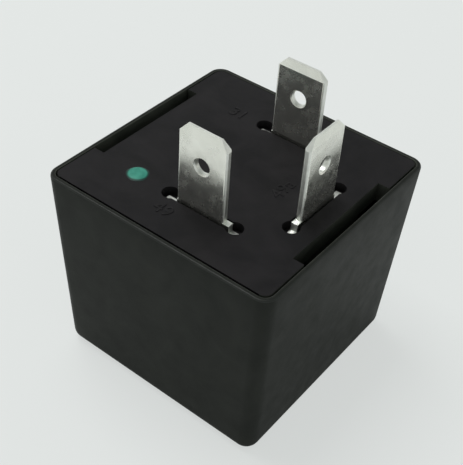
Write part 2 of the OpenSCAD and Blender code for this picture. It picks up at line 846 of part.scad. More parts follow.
// Wire swept along a path as one closed skin
module swept_wire(path, d, sides) {
    frames = carried(path, 0, [0, 1, 0]);
    n = len(path);
    points = [
        for (i = [0 : n - 1]) let (t = frames[i][0], v = frames[i][1], w = cross(t, v))
            for (k = [0 : sides - 1]) let (a = 360 * k / sides)
                path[i] + d / 2 * (v * cos(a) + w * sin(a))
    ];
    skin = [
        for (i = [0 : n - 2], k = [0 : sides - 1])
            let (k2 = (k + 1) % sides)
                each [
                    [i * sides + k, (i + 1) * sides + k, (i + 1) * sides + k2],
                    [i * sides + k, (i + 1) * sides + k2, i * sides + k2]
                ]
    ];
    caps = [
        [for (k = [0 : sides - 1]) k],
        [for (k = [sides - 1 : -1 : 0]) (n - 1) * sides + k]
    ];
    polyhedron(points, concat(skin, caps), convexity = 10);
}

module return_spring() {
    color([0.72, 0.72, 0.74])
    translate([spring_x, 0, 0]) swept_wire(spring_path, spring_wire, 6);
}

// ---------------------------------------------------------------- circuit board

// Holes whose leads end on the front, on the back, and those of the shunt
lead_places = [
    for (at = [timing_at, sensing_at, supply_at, diode_at], i = [0, 1]) [at[0], at[1] + i * pitch]
];
back_places = concat(
    [for (s = [-1, 1]) [can_at[0], can_at[1] + s * can_pitch / 2]],
    [for (s = [-1, 1]) [disc_at[0], disc_at[1] + s * disc_pitch / 2]]
);
shunt_places = [for (s = [-1, 1]) [s * shunt_pitch / 2, shunt_z]];
braid_place = [braid_y, braid_hole_z];

// Upright at one place on the board, pointing to +X from x = 0
module at_board(x, at) {
    translate([x, at[0], at[1]]) rotate([0, 90, 0]) children();
}

module circuit_board() {
    tab_y = yoke_w / 2 - yoke_t / 2;
    color([0.72, 0.6, 0.35])
    difference() {
        translate([back_x, -board_w / 2, board_z0]) cube([board_t, board_w, board_z1 - board_z0]);
        for (at = concat(lead_places, back_places))
            at_board(back_x - 1, at) cylinder(h = board_t + 2, d = lead_hole, $fn = 24);
        for (at = shunt_places)
            at_board(back_x - 1, at) cylinder(h = board_t + 2, d = shunt_d + 0.3, $fn = 24);
        at_board(back_x - 1, braid_place) cylinder(h = board_t + 2, d = braid_d + 0.3, $fn = 24);
        for (s = [-1, 1]) {
            at_board(back_x - 1, [s * coil_hole_y, coil_hole_z])
                cylinder(h = board_t + 2, d = coil_wire + 0.3, $fn = 24);
            translate([back_x + board_t / 2, s * row_y, tab_z])
                cube([board_t + 1, blade_t + 2 * board_clear, tab_h + 2 * board_clear], center = true);
        }
        translate([back_x + board_t / 2, tab_y, yoke_tab_z + yoke_tab_h / 2])
            cube([board_t + 1, yoke_t + 2 * board_clear, yoke_tab_h - 2 * tab_step + 2 * board_clear],
                 center = true);
    }
}

// Two bent leads of a part that lies on the back of the board
module axial_leads(at, body_l, lift) {
    mid = at[1] + pitch / 2;
    x = back_x - lift;
    for (s = [-1, 1])
        wire([
            [x, at[0], mid + s * body_l / 2],
            [x, at[0], mid + s * pitch / 2],
            [board_x + lead_out, at[0], mid + s * pitch / 2]
        ], lead_d);
}

module axial_body(at, d, l, lift) {
    translate([back_x - lift, at[0], at[1] + pitch / 2]) cylinder(h = l, d = d, center = true);
}

// Resistor: a ceramic rod with a cap pressed over each end
module resistor_body(at) {
    lift = resistor_d / 2 + seat_gap;
    axial_body(at, resistor_d - 2 * cap_step, resistor_l, lift);
    for (s = [-1, 1])
        translate([back_x - lift, at[0], at[1] + pitch / 2 + s * (resistor_l - resistor_cap) / 2])
            cylinder(h = resistor_cap, d = resistor_d, center = true);
}

module timing_resistor() { color([0.8, 0.7, 0.5]) resistor_body(timing_at); }

module sensing_resistor() { color([0.8, 0.7, 0.5]) resistor_body(sensing_at); }

module supply_resistor() { color([0.8, 0.7, 0.5]) resistor_body(supply_at); }

module resistor_leads(at) {
    color([0.75, 0.75, 0.74]) axial_leads(at, resistor_l, resistor_d / 2 + seat_gap);
}

module coil_diode() { color([0.1, 0.1, 0.1]) axial_body(diode_at, diode_d, diode_l, diode_d / 2 + seat_gap); }

module coil_diode_leads() {
    color([0.75, 0.75, 0.74]) axial_leads(diode_at, diode_l, diode_d / 2 + seat_gap);
}

// Thick resistance wire that carries the lamp current
module shunt_wire() {
    y = shunt_pitch / 2;
    top = back_x - shunt_rise;
    color([0.65, 0.62, 0.55])
    wire([
        [board_x + lead_out, -y, shunt_z],
        [top, -y, shunt_z],
        [top, y, shunt_z],
        [board_x + lead_out, y, shunt_z]
    ], shunt_d);
}

module flasher_chip() {
    color([0.08, 0.08, 0.09])
    translate([back_x - chip_lift - chip_size[0], chip_at[0] - chip_size[1] / 2, chip_at[1] - chip_size[2] / 2])
        difference() {
            cube(chip_size);
            translate([-eps, 0.7, chip_size[2] - 0.7]) rotate([0, 90, 0]) cylinder(h = 0.1, d = 0.6, $fn = 24);
        }
}

// Gull-wing legs, four along each long side
module flasher_chip_leads() {
    half = chip_size[2] / 2;
    mid = back_x - chip_lift - chip_size[0] / 2;
    color([0.75, 0.75, 0.74])
    for (i = [0 : 3], s = [-1, 1])
        translate([0, chip_at[0] + (i - 1.5) * chip_leg_pitch, chip_at[1]])
            along_y(chip_leg_w) scale([1, s]) {
                translate([mid - chip_foot / 2, half]) square([chip_foot, chip_leg_out + chip_foot]);
                translate([mid - chip_foot / 2, half + chip_leg_out])
                    square([back_x - mid + chip_foot / 2, chip_foot]);
                translate([back_x - chip_foot, half + chip_leg_out]) square([chip_foot, chip_leg_l]);
            }
}

module timing_capacitor() {
    g = can_groove;
    color([0.12, 0.12, 0.2])
    at_board(board_x + can_seat, can_at) {
        cylinder(h = g, d = can_d);
        translate([0, 0, g]) cylinder(h = g, d1 = can_d, d2 = can_d - g);
        translate([0, 0, 2 * g]) cylinder(h = g, d1 = can_d - g, d2 = can_d);
        translate([0, 0, 3 * g]) cylinder(h = can_l - 3 * g, d = can_d);
    }
}

// Rubber bung in the mouth of the can
module timing_capacitor_seal() {
    color([0.1, 0.1, 0.1])
    difference() {
        at_board(board_x + seat_gap, can_at) cylinder(h = can_seat - seat_gap, d = can_d - 2 * can_groove);
        for (s = [-1, 1])
            at_board(board_x, [can_at[0], can_at[1] + s * can_pitch / 2])
                cylinder(h = can_seat + 1, d = lead_d, $fn = 24);
    }
}

module timing_capacitor_leads() {
    color([0.75, 0.75, 0.74])
    for (s = [-1, 1])
        at_board(back_x - lead_out, [can_at[0], can_at[1] + s * can_pitch / 2])
            cylinder(h = board_t + lead_out + can_seat, d = lead_d, $fn = 24);
}

module disc_capacitor() {
    color([0.75, 0.45, 0.15])
    translate([board_x + disc_seat + disc_d / 2, disc_at[0], disc_at[1]])
        rotate([90, 0, 0]) {
            cylinder(h = disc_t - 2 * disc_edge, d = disc_d, center = true);
            for (s = [0, 180])
                rotate([s, 0, 0]) translate([0, 0, disc_t / 2 - disc_edge])
                    cylinder(h = disc_edge, d1 = disc_d, d2 = disc_d - 2 * disc_edge);
        }
}

module disc_capacitor_leads() {
    reach = disc_seat + disc_d / 2 - sqrt(disc_d * disc_d / 4 - disc_pitch * disc_pitch / 4);
    color([0.75, 0.75, 0.74])
    difference() {
        for (s = [-1, 1])
            at_board(back_x - lead_out, [disc_at[0], disc_at[1] + s * disc_pitch / 2])
                cylinder(h = board_t + lead_out + reach + lead_d / 2, d = lead_d, $fn = 24);
        translate([board_x + disc_seat + disc_d / 2, disc_at[0], disc_at[1]])
            rotate([90, 0, 0]) cylinder(h = disc_t + 1, d = disc_d, center = true);
    }
}

// Solder cones round the lead ends, and fillets round the three tabs
module solder_joints() {
    tab_y = yoke_w / 2 - yoke_t / 2;
    color([0.7, 0.7, 0.7]) {
        for (at = lead_places) solder_cone(board_x, at, lead_d, 1);
        for (at = shunt_places) solder_cone(board_x, at, shunt_d, 1);
        for (at = back_places) solder_cone(back_x, at, lead_d, -1);
        solder_cone(back_x, braid_place, braid_d, -1);
        for (s = [-1, 1]) {
            solder_cone(back_x, [s * coil_hole_y, coil_hole_z], coil_wire + 0.05, -1, 0.45);
            tab_fillet(s * row_y, tab_z, blade_t, tab_h);
        }
        tab_fillet(tab_y, yoke_tab_z + yoke_tab_h / 2, yoke_t, yoke_tab_h - 2 * tab_step);
    }
}

// Cone of solder round a lead of diameter d, on the front (1) or back (-1)
module solder_cone(x, at, d, side, h = solder_h) {
    translate([x, at[0], at[1]]) rotate([0, side * 90, 0]) difference() {
        cylinder(h = h, r1 = d / 2 + solder_foot, r2 = d / 2 + 0.12);
        translate([0, 0, -1]) cylinder(h = h + 2, d = d, $fn = 24);
    }
}

module tab_fillet(y, z, w, h) {
    r = norm([w, h]) / 2;
    translate([back_x, y, z]) rotate([0, -90, 0]) difference() {
        cylinder(h = tab_out - 0.15, r1 = r + 0.45, r2 = r + 0.1);
        cube([h, w, 4 * tab_out], center = true);
    }
}

// ---------------------------------------------------------------- the part

cover();
base_plate();
coding_dot();
terminal_49();
terminal_31();
terminal_49a();
yoke();
core();
bobbin();
winding();
coil_leads();
armature();
contact_spring();
spring_rivets();
moving_contact();
fixed_contact();
return_spring();
contact_braid();
circuit_board();
shunt_wire();
flasher_chip();
flasher_chip_leads();
timing_capacitor();
timing_capacitor_seal();
timing_capacitor_leads();
timing_resistor();
resistor_leads(timing_at);  // timing_resistor_leads
sensing_resistor();
resistor_leads(sensing_at);  // sensing_resistor_leads
supply_resistor();
resistor_leads(supply_at);  // supply_resistor_leads
coil_diode();
coil_diode_leads();
disc_capacitor();
disc_capacitor_leads();
solder_joints();
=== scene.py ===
import json
import math

import bmesh
import bpy
import numpy as np
from mathutils import Matrix, Vector


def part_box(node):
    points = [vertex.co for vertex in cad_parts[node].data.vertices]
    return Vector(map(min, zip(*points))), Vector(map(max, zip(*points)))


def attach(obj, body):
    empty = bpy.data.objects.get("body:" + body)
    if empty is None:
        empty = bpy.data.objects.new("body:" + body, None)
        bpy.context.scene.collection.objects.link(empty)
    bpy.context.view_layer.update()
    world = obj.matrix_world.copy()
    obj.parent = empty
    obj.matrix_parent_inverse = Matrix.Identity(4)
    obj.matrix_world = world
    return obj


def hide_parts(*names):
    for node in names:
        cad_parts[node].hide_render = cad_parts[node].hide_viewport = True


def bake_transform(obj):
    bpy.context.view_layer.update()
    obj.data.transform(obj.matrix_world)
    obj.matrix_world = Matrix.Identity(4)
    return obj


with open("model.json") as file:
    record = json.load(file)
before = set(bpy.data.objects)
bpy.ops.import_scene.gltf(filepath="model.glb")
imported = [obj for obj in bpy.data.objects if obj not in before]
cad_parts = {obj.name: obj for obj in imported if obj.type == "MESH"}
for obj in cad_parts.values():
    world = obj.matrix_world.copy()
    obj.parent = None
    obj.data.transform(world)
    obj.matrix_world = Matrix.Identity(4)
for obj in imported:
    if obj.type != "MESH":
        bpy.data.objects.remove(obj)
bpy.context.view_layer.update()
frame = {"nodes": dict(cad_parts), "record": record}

MM = 0.001


# ---------------------------------------------------------------- camera
# The relay is seen from above, over the corner between its front and right
# sides, with a lens of about 73 mm. The camera is tilted a little to one side.
azimuth, elevation, roll = math.radians(35.44), math.radians(41.34), math.radians(4.26)
back = Vector((math.sin(azimuth) * math.cos(elevation),
               -math.cos(azimuth) * math.cos(elevation), math.sin(elevation)))
level = Vector((math.cos(azimuth), math.sin(azimuth), 0))
upward = back.cross(level)
right = math.cos(roll) * level + math.sin(roll) * upward
up = math.cos(roll) * upward - math.sin(roll) * level

rim_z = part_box("cover")[1][2]
away, aside, above = 105.713, -0.969, -7.24
eye = Vector((0, 0, rim_z)) + MM * (away * back + aside * right + above * up)
camera = bpy.data.objects.new("camera", bpy.data.cameras.new("camera"))
camera.data.sensor_width = 36
camera.data.lens = 73.205
camera.data.clip_start, camera.data.clip_end = 0.005, 10
camera.matrix_world = Matrix((
    (right.x, up.x, back.x, eye.x), (right.y, up.y, back.y, eye.y),
    (right.z, up.z, back.z, eye.z), (0, 0, 0, 1)))
bpy.context.collection.objects.link(camera)
bpy.context.scene.camera = camera


# ---------------------------------------------------------------- cover
# One injection moulding in black glass-filled polyester: a square can with
# drafted sides, a rounded closed end, and a thin rim outside the base plate.
# Two catches inside hold the base plate's snap tongues.

def skin(name, grid, closed_u=True, cap_start=False, cap_end=False):
    """Mesh object from a grid of points in mm, shape (stations, round, 3).

    Point (i, j) joins its neighbours (i+1, j) and (i, j+1), and the last column
    joins the first where closed_u is true. A cap closes a whole first or last
    ring with one face.
    """
    n, m = grid.shape[:2]
    mesh = bpy.data.meshes.new(name)
    i, j = np.meshgrid(np.arange(n - 1), np.arange(m if closed_u else m - 1), indexing="ij")
    k = (j + 1) % m
    quads = np.stack([i * m + j, i * m + k, (i + 1) * m + k, (i + 1) * m + j], -1).reshape(-1, 4)
    faces = quads.tolist()
    if cap_start:
        faces.append(list(range(m))[::-1])
    if cap_end:
        faces.append(list(range((n - 1) * m, n * m)))
    mesh.from_pydata((grid.reshape(-1, 3) * MM).tolist(), [], faces)
    piece = bpy.data.objects.new(name, mesh)
    bpy.context.collection.objects.link(piece)
    return piece


def smooth(piece, angle=35):
    """Smooth shading, with edges sharper than the angle in degrees left hard."""
    piece.data.polygons.foreach_set("use_smooth", np.ones(len(piece.data.polygons), bool))
    piece.data.set_sharp_from_angle(angle=math.radians(angle))


def turned_out(piece, gap=1e-7):
    """Merges points that lie on each other and turns every face outwards."""
    shape = bmesh.new()
    shape.from_mesh(piece.data)
    bmesh.ops.remove_doubles(shape, verts=shape.verts, dist=gap)
    bmesh.ops.recalc_face_normals(shape, faces=shape.faces)
    shape.to_mesh(piece.data)
    shape.free()


def square_ring(half_w, half_d, r, arc=10, side=14):
    """Rounded rectangles, one for each value of half_w, half_d and r.

    A point is its corner's centre plus r times (cos a, sin a). The angle a runs
    through a quarter turn at each corner and stays still along each side, where
    the centre slides from one corner to the next.
    """
    a, t, c = [], [], []
    for corner in range(4):
        a += [corner * 90 + q * 90 / arc for q in range(arc + 1)] + [corner * 90 + 90] * side
        t += [0] * (arc + 1) + [(q + 1) / (side + 1) for q in range(side)]
        c += [corner] * (arc + 1 + side)
    a, t, c = np.radians(a), np.array(t), np.array(c)
    sx, sy = np.array([1, -1, -1, 1, 1]), np.array([1, 1, -1, -1, 1])
    mx = sx[c] * (1 - t) + sx[c + 1] * t
    my = sy[c] * (1 - t) + sy[c + 1] * t
    w, d, r = (np.asarray(v, float)[:, None] for v in (half_w, half_d, r))
    return (w - r) * mx + r * np.cos(a), (d - r) * my + r * np.sin(a)


def merged(name, pieces):
    """One mesh object from several, which are removed."""
    shape = bmesh.new()
    for piece in pieces:
        shape.from_mesh(piece.data)
        bpy.data.objects.remove(piece)
    whole = bpy.data.objects.new(name, bpy.data.meshes.new(name))
    shape.to_mesh(whole.data)
    shape.free()
    bpy.context.collection.objects.link(whole)
    return whole


def block(name, low, high, edge):
    """Rectangular bar along Y whose four long edges and two ends are eased.

    Its section is a rounded rectangle in X and Z. The section shrinks by the
    edge at the first and the last station, which gives the ends their bevel.
    """
    low, high = np.asarray(low, float), np.asarray(high, float)
    mid, half = (low + high) / 2, (high - low) / 2
    inset = np.array([edge, edge * 0.3, 0, 0, edge * 0.3, edge])
    x, z = square_ring(half[0] - inset, half[2] - inset, np.maximum(edge * 1.2 - inset, 0.01), 3, 1)
    y = np.array([low[1], low[1] + edge * 0.3, low[1] + edge,
                  high[1] - edge, high[1] - edge * 0.3, high[1]])
    grid = np.stack([mid[0] + x, np.broadcast_to(y[:, None], x.shape), mid[2] + z], -1)
    piece = skin(name, grid, cap_start=True, cap_end=True)
    turned_out(piece)
    return piece


def box_mm(node):
    """Lowest and highest corner of a CAD node, in mm."""
    return (np.array(corner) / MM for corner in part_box(node))


cover_low, cover_high = box_mm("cover")
half_w, half_d, cover_h = cover_high[0], cover_high[1], cover_high[2]
draft, corner_r, end_r, wall, rim = 1.03, 1.7, 1.5, 1.1, 0.6
seat_z = cover_h - 2.4
rim_edge, floor_edge = 0.3, 0.3

# Stations from the middle of the closed end, up the outside and over the rim:
# (height, inset from the outside, share of the flat closed end).
bend = np.radians(np.linspace(0, 90, 11))
stations = [(0, None, f) for f in (0.0, 0.35, 0.7, 0.92)]
stations += [(end_r * (1 - math.cos(b)), end_r * (1 - math.sin(b)), None) for b in bend]
stations += [(z, 0, None) for z in np.linspace(end_r, cover_h - rim_edge, 12)[1:]]
stations += [(cover_h - rim_edge * (1 - math.sin(b)), rim_edge * (1 - math.cos(b)), None)
             for b in np.radians([18, 36, 54, 72, 90])]
rows = []
for z, inset, share in stations:
    lean = draft * (1 - z / cover_h)
    if inset is None:
        rows.append(((half_w - lean - end_r) * share, (half_d - lean - end_r) * share,
                     (corner_r - end_r) * share, z))
    else:
        rows.append((half_w - lean - inset, half_d - lean - inset, corner_r - inset, z))
rim_w, rim_d, rim_r = half_w - rim, half_d - rim, corner_r - rim
# then down the inside to the middle of its floor
for z, out in ((cover_h, 0.1), (cover_h - 0.03, 0.03), (cover_h - 0.1, 0), (seat_z, 0)):
    rows.append((rim_w + out, rim_d + out, rim_r + out, z))
for z in np.linspace(seat_z, wall + floor_edge, 5):
    lean = draft * (1 - z / cover_h)
    rows.append((half_w - lean - wall, half_d - lean - wall, corner_r - wall, z))
lean = draft * (1 - wall / cover_h)
for b in np.radians([70, 45, 20, 0]):
    inset = wall + floor_edge * (1 - math.sin(b))
    rows.append((half_w - lean - inset, half_d - lean - inset,
                 corner_r - inset, wall + floor_edge * (1 - math.cos(b))))
for share in (0.6, 0.0):
    rows.append(((half_w - lean - wall - floor_edge) * share,
                 (half_d - lean - wall - floor_edge) * share, 0.3 * share, wall))
rows = np.array(rows)
ring_x, ring_y = square_ring(rows[:, 0], rows[:, 1], rows[:, 2])
shell = np.stack([ring_x, ring_y, np.broadcast_to(rows[:, 3:4], ring_x.shape)], -1)
can = skin("can", shell)
turned_out(can)

catch_z, catch_t, catch_reach, catch_w = 19.5, 0.8, 0.5, 10
wall_x = half_w - draft * (1 - catch_z / cover_h) - wall
catches = []
for side in (-1, 1):
    x = sorted((side * (wall_x - catch_reach), side * (wall_x + wall / 2)))
    catches.append(block("catch", (x[0], -catch_w / 2, catch_z),
                         (x[1], catch_w / 2, catch_z + catch_t), 0.08))
cover = merged("cover_shell", [can] + catches)
smooth(cover, 50)


def material(name, colour, metallic=0.0, roughness=0.5, specular=0.5):
    """New material: its node tree, its Principled shader and its coordinates."""
    made = bpy.data.materials.new(name)
    made.use_nodes = True
    tree = made.node_tree
    shader = tree.nodes["Principled BSDF"]
    shader.inputs["Base Color"].default_value = (*colour, 1)
    shader.inputs["Metallic"].default_value = metallic
    shader.inputs["Roughness"].default_value = roughness
    shader.inputs["Specular IOR Level"].default_value = specular
    place = tree.nodes.new("ShaderNodeTexCoord")
    return made, tree, shader, place.outputs["Object"]


def link(tree, output, socket):
    """Joins a node's output to another's input."""
    tree.links.new(output, socket)


def noise(tree, at, size, detail=3.0, rough=0.55, stretch=(1, 1, 1), distortion=0.0):
    """Noise whose features are about size mm across, stretched along an axis."""
    node = tree.nodes.new("ShaderNodeTexNoise")
    turn = tree.nodes.new("ShaderNodeMapping")
    turn.inputs["Scale"].default_value = [1 / (size * MM * s) for s in stretch]
    link(tree, at, turn.inputs["Vector"])
    link(tree, turn.outputs["Vector"], node.inputs["Vector"])
    node.inputs["Scale"].default_value = 1
    node.inputs["Detail"].default_value = detail
    node.inputs["Roughness"].default_value = rough
    node.inputs["Distortion"].default_value = distortion
    return node.outputs["Fac"]


def ranged(tree, value, low, high, start=0.3, end=0.7):
    """Maps a value between start and end onto low to high, and clamps it."""
    node = tree.nodes.new("ShaderNodeMapRange")
    for socket, number in zip(("From Min", "From Max", "To Min", "To Max"),
                              (start, end, low, high)):
        node.inputs[socket].default_value = number
    link(tree, value, node.inputs["Value"])
    return node.outputs["Result"]


def blended(tree, value, first, second):
    """Colour that goes from the first to the second as a value goes from 0 to 1.

    Each is a plain colour, or the colour that another node gives.
    """
    node = tree.nodes.new("ShaderNodeMix")
    node.data_type = "RGBA"
    for socket, colour in (("A", first), ("B", second)):
        if isinstance(colour, tuple):
            node.inputs[socket].default_value = (*colour, 1)
        else:
            link(tree, colour, node.inputs[socket])
    link(tree, value, node.inputs["Factor"])
    return node.outputs["Result"]


def mottled(tree, shader, clouds, first, second, polish, low, high, spread=(0.3, 0.7)):
    """Colour between two in clouds, and roughness from low to high in a polish.

    The clouds' spread is the part of their values that the colours cover.
    """
    link(tree, blended(tree, ranged(tree, clouds, 0, 1, *spread), first, second),
         shader.inputs["Base Color"])
    link(tree, ranged(tree, polish, low, high), shader.inputs["Roughness"])


def bumped(tree, shader, *layers):
    """Bump from layers of (height value, height in mm, strength)."""
    normal = None
    for height, depth, strength in layers:
        node = tree.nodes.new("ShaderNodeBump")
        node.inputs["Distance"].default_value = depth * MM
        node.inputs["Strength"].default_value = strength
        link(tree, height, node.inputs["Height"])
        if normal:
            link(tree, normal, node.inputs["Normal"])
        normal = node.outputs["Normal"]
    link(tree, normal, shader.inputs["Normal"])


def moulding(name, dark, light, rough_low, rough_high, grain, gloss):
    """Moulded black plastic: flow clouds, a fine spark-eroded grain, light rub."""
    made, tree, shader, at = material(name, dark, roughness=rough_low, specular=gloss)
    mottled(tree, shader, noise(tree, at, 5, 4, 0.6, distortion=0.8), dark, light,
            noise(tree, at, 2.4, 6, 0.65), rough_low, rough_high, (0.36, 0.64))
    bumped(tree, shader,
           (noise(tree, at, 0.16, 2, 0.5), 0.012, grain),
           (noise(tree, at, 4.5, 2, 0.5), 0.05, 0.08))
    return made


def coated(piece, finishes, choice=None):
    """Gives a piece its finishes, and each face the number of its own."""
    for finish in finishes:
        piece.data.materials.append(finish)
    if choice is not None:
        piece.data.polygons.foreach_set("material_index", choice.astype(np.int32))


def face_rows(piece):
    """Normal, and centre in mm, of each face as arrays of shape (faces, 3)."""
    facing, centre = np.zeros((2, len(piece.data.polygons) * 3))
    piece.data.polygons.foreach_get("normal", facing)
    piece.data.polygons.foreach_get("center", centre)
    return facing.reshape(-1, 3), centre.reshape(-1, 3) / MM


cover_black = moulding("cover_black", (0.0177, 0.0193, 0.0170), (0.0231, 0.0249, 0.0219),
                       0.38, 0.50, 0.2, 0.07)
cover_edge = moulding("cover_edge", (0.0150, 0.0172, 0.0150), (0.0230, 0.0255, 0.0225),
                      0.32, 0.44, 0.2, 0.26)
# painted light: a paler copy of the black moulding for the walls in the recesses, standing in for
# light that reaches them
lip_painted_light = moulding("lip_painted_light", (0.036, 0.040, 0.033), (0.058, 0.062, 0.052),
                     0.52, 0.66, 0.4, 0.2)
# the rim's outer edge is rubbed smoother; the lip inside it is matt, and its paler colour is
# painted light that stands in for light reaching into the recess
facing, centre = face_rows(cover)
rubbed = (centre[:, 2] > cover_h - rim_edge) & (facing[:, 2] > 0.12) & (facing[:, 2] < 0.97)
inwards = np.sum(facing[:, :2] * centre[:, :2], axis=1) < 0
lip = inwards & (centre[:, 2] > seat_z - 1.5)
coated(cover, (cover_black, cover_edge, lip_painted_light), (rubbed & ~inwards) + 2 * lip)
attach(cover, "housing")
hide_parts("cover")


# ---------------------------------------------------------------- base plate
# A second black moulding closes the can. Its slots hold the terminal feet, a
# recess in each side edge lets a tool reach the snap tongues, and the terminal
# numbers stand up a little from its face.

def rounded_copy(node, name, edge, segments=2, angle=30):
    """Copy of a CAD node whose loose faces are joined and whose edges are rounded.

    The large faces keep their own normals, so they shade as flat.
    """
    source = frame["nodes"][node]
    piece = bpy.data.objects.new(name, source.data.copy())
    bpy.context.collection.objects.link(piece)
    piece.data.materials.clear()
    shape = bmesh.new()
    shape.from_mesh(piece.data)
    bmesh.ops.remove_doubles(shape, verts=shape.verts, dist=1e-7)
    bmesh.ops.dissolve_limit(shape, angle_limit=math.radians(1), verts=shape.verts,
                             edges=shape.edges)
    shape.to_mesh(piece.data)
    shape.free()
    smooth(piece, angle)
    bevel = piece.modifiers.new("rounded edges", "BEVEL")
    bevel.width = edge * MM
    bevel.segments = segments
    bevel.limit_method = "ANGLE"
    bevel.angle_limit = math.radians(angle)
    level = piece.modifiers.new("flat faces", "WEIGHTED_NORMAL")
    level.keep_sharp, level.weight = True, 100
    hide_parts(node)
    return piece


plate = rounded_copy("base_plate", "base_plate_moulding", 0.1)
plate_black = moulding("plate_black", (0.0072, 0.0066, 0.0078), (0.0140, 0.0126, 0.0142),
                       0.40, 0.56, 0.35, 0.14)
# the upright walls in and beyond the recesses are matt, and get the lip's paler colour as painted
# light, as the lip does
recess_x = 12.4
facing, centre = face_rows(plate)
side_wall = (np.abs(facing[:, 2]) < 0.5) & (np.abs(centre[:, 0]) > recess_x)
coated(plate, (plate_black, lip_painted_light), side_wall)
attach(plate, "housing")


def raised_number(text, beside, size=2.3, quarter_turns=0):
    """Moulded number flat on the base plate, its middle beside its blade, in mm."""
    mounts = {mount["name"]: mount["pos_m"] for mount in frame["record"]["mounts"]}
    blade_x, blade_y, _ = mounts["blade_" + text]
    words = bpy.data.curves.new("number", "FONT")
    words.body, words.size, words.extrude = text, size, 0.04
    words.bevel_depth, words.bevel_resolution = 0.02, 1
    words.align_x, words.align_y = "CENTER", "CENTER"
    words.resolution_u = 4
    written = bpy.data.objects.new("number", words)
    mesh = bpy.data.meshes.new_from_object(written)
    bpy.data.objects.remove(written)
    piece = bpy.data.objects.new("number_" + text, mesh)
    mesh.transform(Matrix.Translation((blade_x + beside[0] * MM, blade_y + beside[1] * MM,
                                       cover_h * MM))
                   @ Matrix.Rotation(math.radians(90 * quarter_turns), 4, "Z")
                   @ Matrix.Scale(MM, 4))
    bpy.context.collection.objects.link(piece)
    turned_out(piece)
    smooth(piece, 40)
    piece.data.materials.clear()
    coated(piece, [plate_black])
    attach(piece, "housing")


raised_number("49a", (-4.3, 0.1), quarter_turns=1)
raised_number("49", (-3.1, -2.7))
raised_number("31", (-8.2, -0.2))


# ---------------------------------------------------------------- blades
# Three flat plug-in terminals stamped from brass strip and tin plated. Each has
# a coined tip, a detent hole and a shouldered foot. The sheared edges are
# coarser than the rolled faces.

def plated(name, bright, dull, low, high, along=(1, 1, 6), cloud=2.2, scratch=0.2):
    """Tin plate over rolled strip: rolling lines along it, faint clouds, small scuffs."""
    made, tree, shader, at = material(name, bright, metallic=0.96, roughness=low)
    clouds = noise(tree, at, cloud, 4, 0.5, distortion=0.3)
    mottled(tree, shader, clouds, bright, dull, noise(tree, at, 1.3, 3, 0.5), low, high,
            (0.35, 0.7))
    lines = noise(tree, at, 0.1, 2, 0.5, stretch=along)
    bumped(tree, shader, (lines, 0.004, scratch), (clouds, 0.03, 0.04))
    return made


tin = plated("tin_plate", (0.99, 0.985, 0.92), (0.89, 0.89, 0.82), 0.18, 0.31)
sheared_tin = plated("sheared_tin", (0.92, 0.93, 0.89), (0.80, 0.82, 0.77), 0.36, 0.46,
                     along=(1, 1, 3), cloud=0.8, scratch=0.5)
for node, across in (("terminal_49", 0), ("terminal_31", 0), ("terminal_49a", 1)):
    blade = rounded_copy(node, node + "_stamping", 0.05)
    facing, centre = face_rows(blade)
    coated(blade, (tin, sheared_tin), (np.abs(facing[:, across]) > 0.35) | (facing[:, 2] > 0.8))
    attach(blade, "housing")


# ---------------------------------------------------------------- coding dot
# A drop of green paint in a shallow round mark tells the variant. It stands
# a little proud of the plate and laps over the mark's edge.
dot_low, dot_high = box_mm("coding_dot")
dot_mid, dot_r = (dot_low + dot_high) / 2, (dot_high[0] - dot_low[0]) / 2
# rings from the drop's top, over its edge and down into the mark, as shares of
# the mark's radius and heights over the CAD paint; the edge wavers a little
reach = np.array([0, 0.35, 0.65, 0.85, 1.0, 1.1, 1.16, 1.15, 0.98, 0.98])
height = np.array([0.23, 0.225, 0.205, 0.17, 0.12, 0.075, 0.05, 0.045, 0.045, -0.2])
turn = np.linspace(0, 2 * math.pi, 48, endpoint=False)
wave = 1 - 0.02 * (1 + np.sin(3 * turn + 1)) - 0.012 * (1 + np.sin(5 * turn))
drop = np.stack([dot_mid[0] + dot_r * reach[:, None] * np.cos(turn) * wave,
                 dot_mid[1] + dot_r * reach[:, None] * np.sin(turn) * wave,
                 np.broadcast_to((dot_high[2] + height)[:, None], (10, 48))], -1)
dot = skin("coding_dot_paint", drop, cap_end=True)
turned_out(dot)
smooth(dot, 60)
dot_paint, tree, shader, at = material("green_paint", (0.03, 0.27, 0.21), specular=0.3)
# the colour darkens towards the drop's edge: partly the thin paint there, partly painted shade for
# the dark ring round the drop
from_middle = tree.nodes.new("ShaderNodeVectorMath")
from_middle.operation = "DISTANCE"
from_middle.inputs[1].default_value = (dot_mid[0] * MM, dot_mid[1] * MM, dot_high[2] * MM)
link(tree, at, from_middle.inputs[0])
thin_edge_shade = ranged(tree, from_middle.outputs["Value"], 0, 1,
                 dot_r * 0.88 * MM, dot_r * 1.02 * MM)
paint = blended(tree, ranged(tree, noise(tree, at, 0.8, 4, 0.6), 0, 1),
                (0.022, 0.22, 0.165), (0.052, 0.34, 0.25))
# painted shade and thin paint: towards the edge the paint blends to a near-black green
link(tree, blended(tree, thin_edge_shade, paint, (0.003, 0.036, 0.028)), shader.inputs["Base Color"])
bumped(tree, shader, (noise(tree, at, 0.5, 3, 0.5), 0.03, 0.3))
coated(dot, [dot_paint])
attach(dot, "housing")
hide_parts("coding_dot")


# ---------------------------------------------------------------- magnet
# The yoke is bent from zinc-plated soft iron, and the turned iron core is
# riveted through its upper leg. The bobbin is natural nylon.

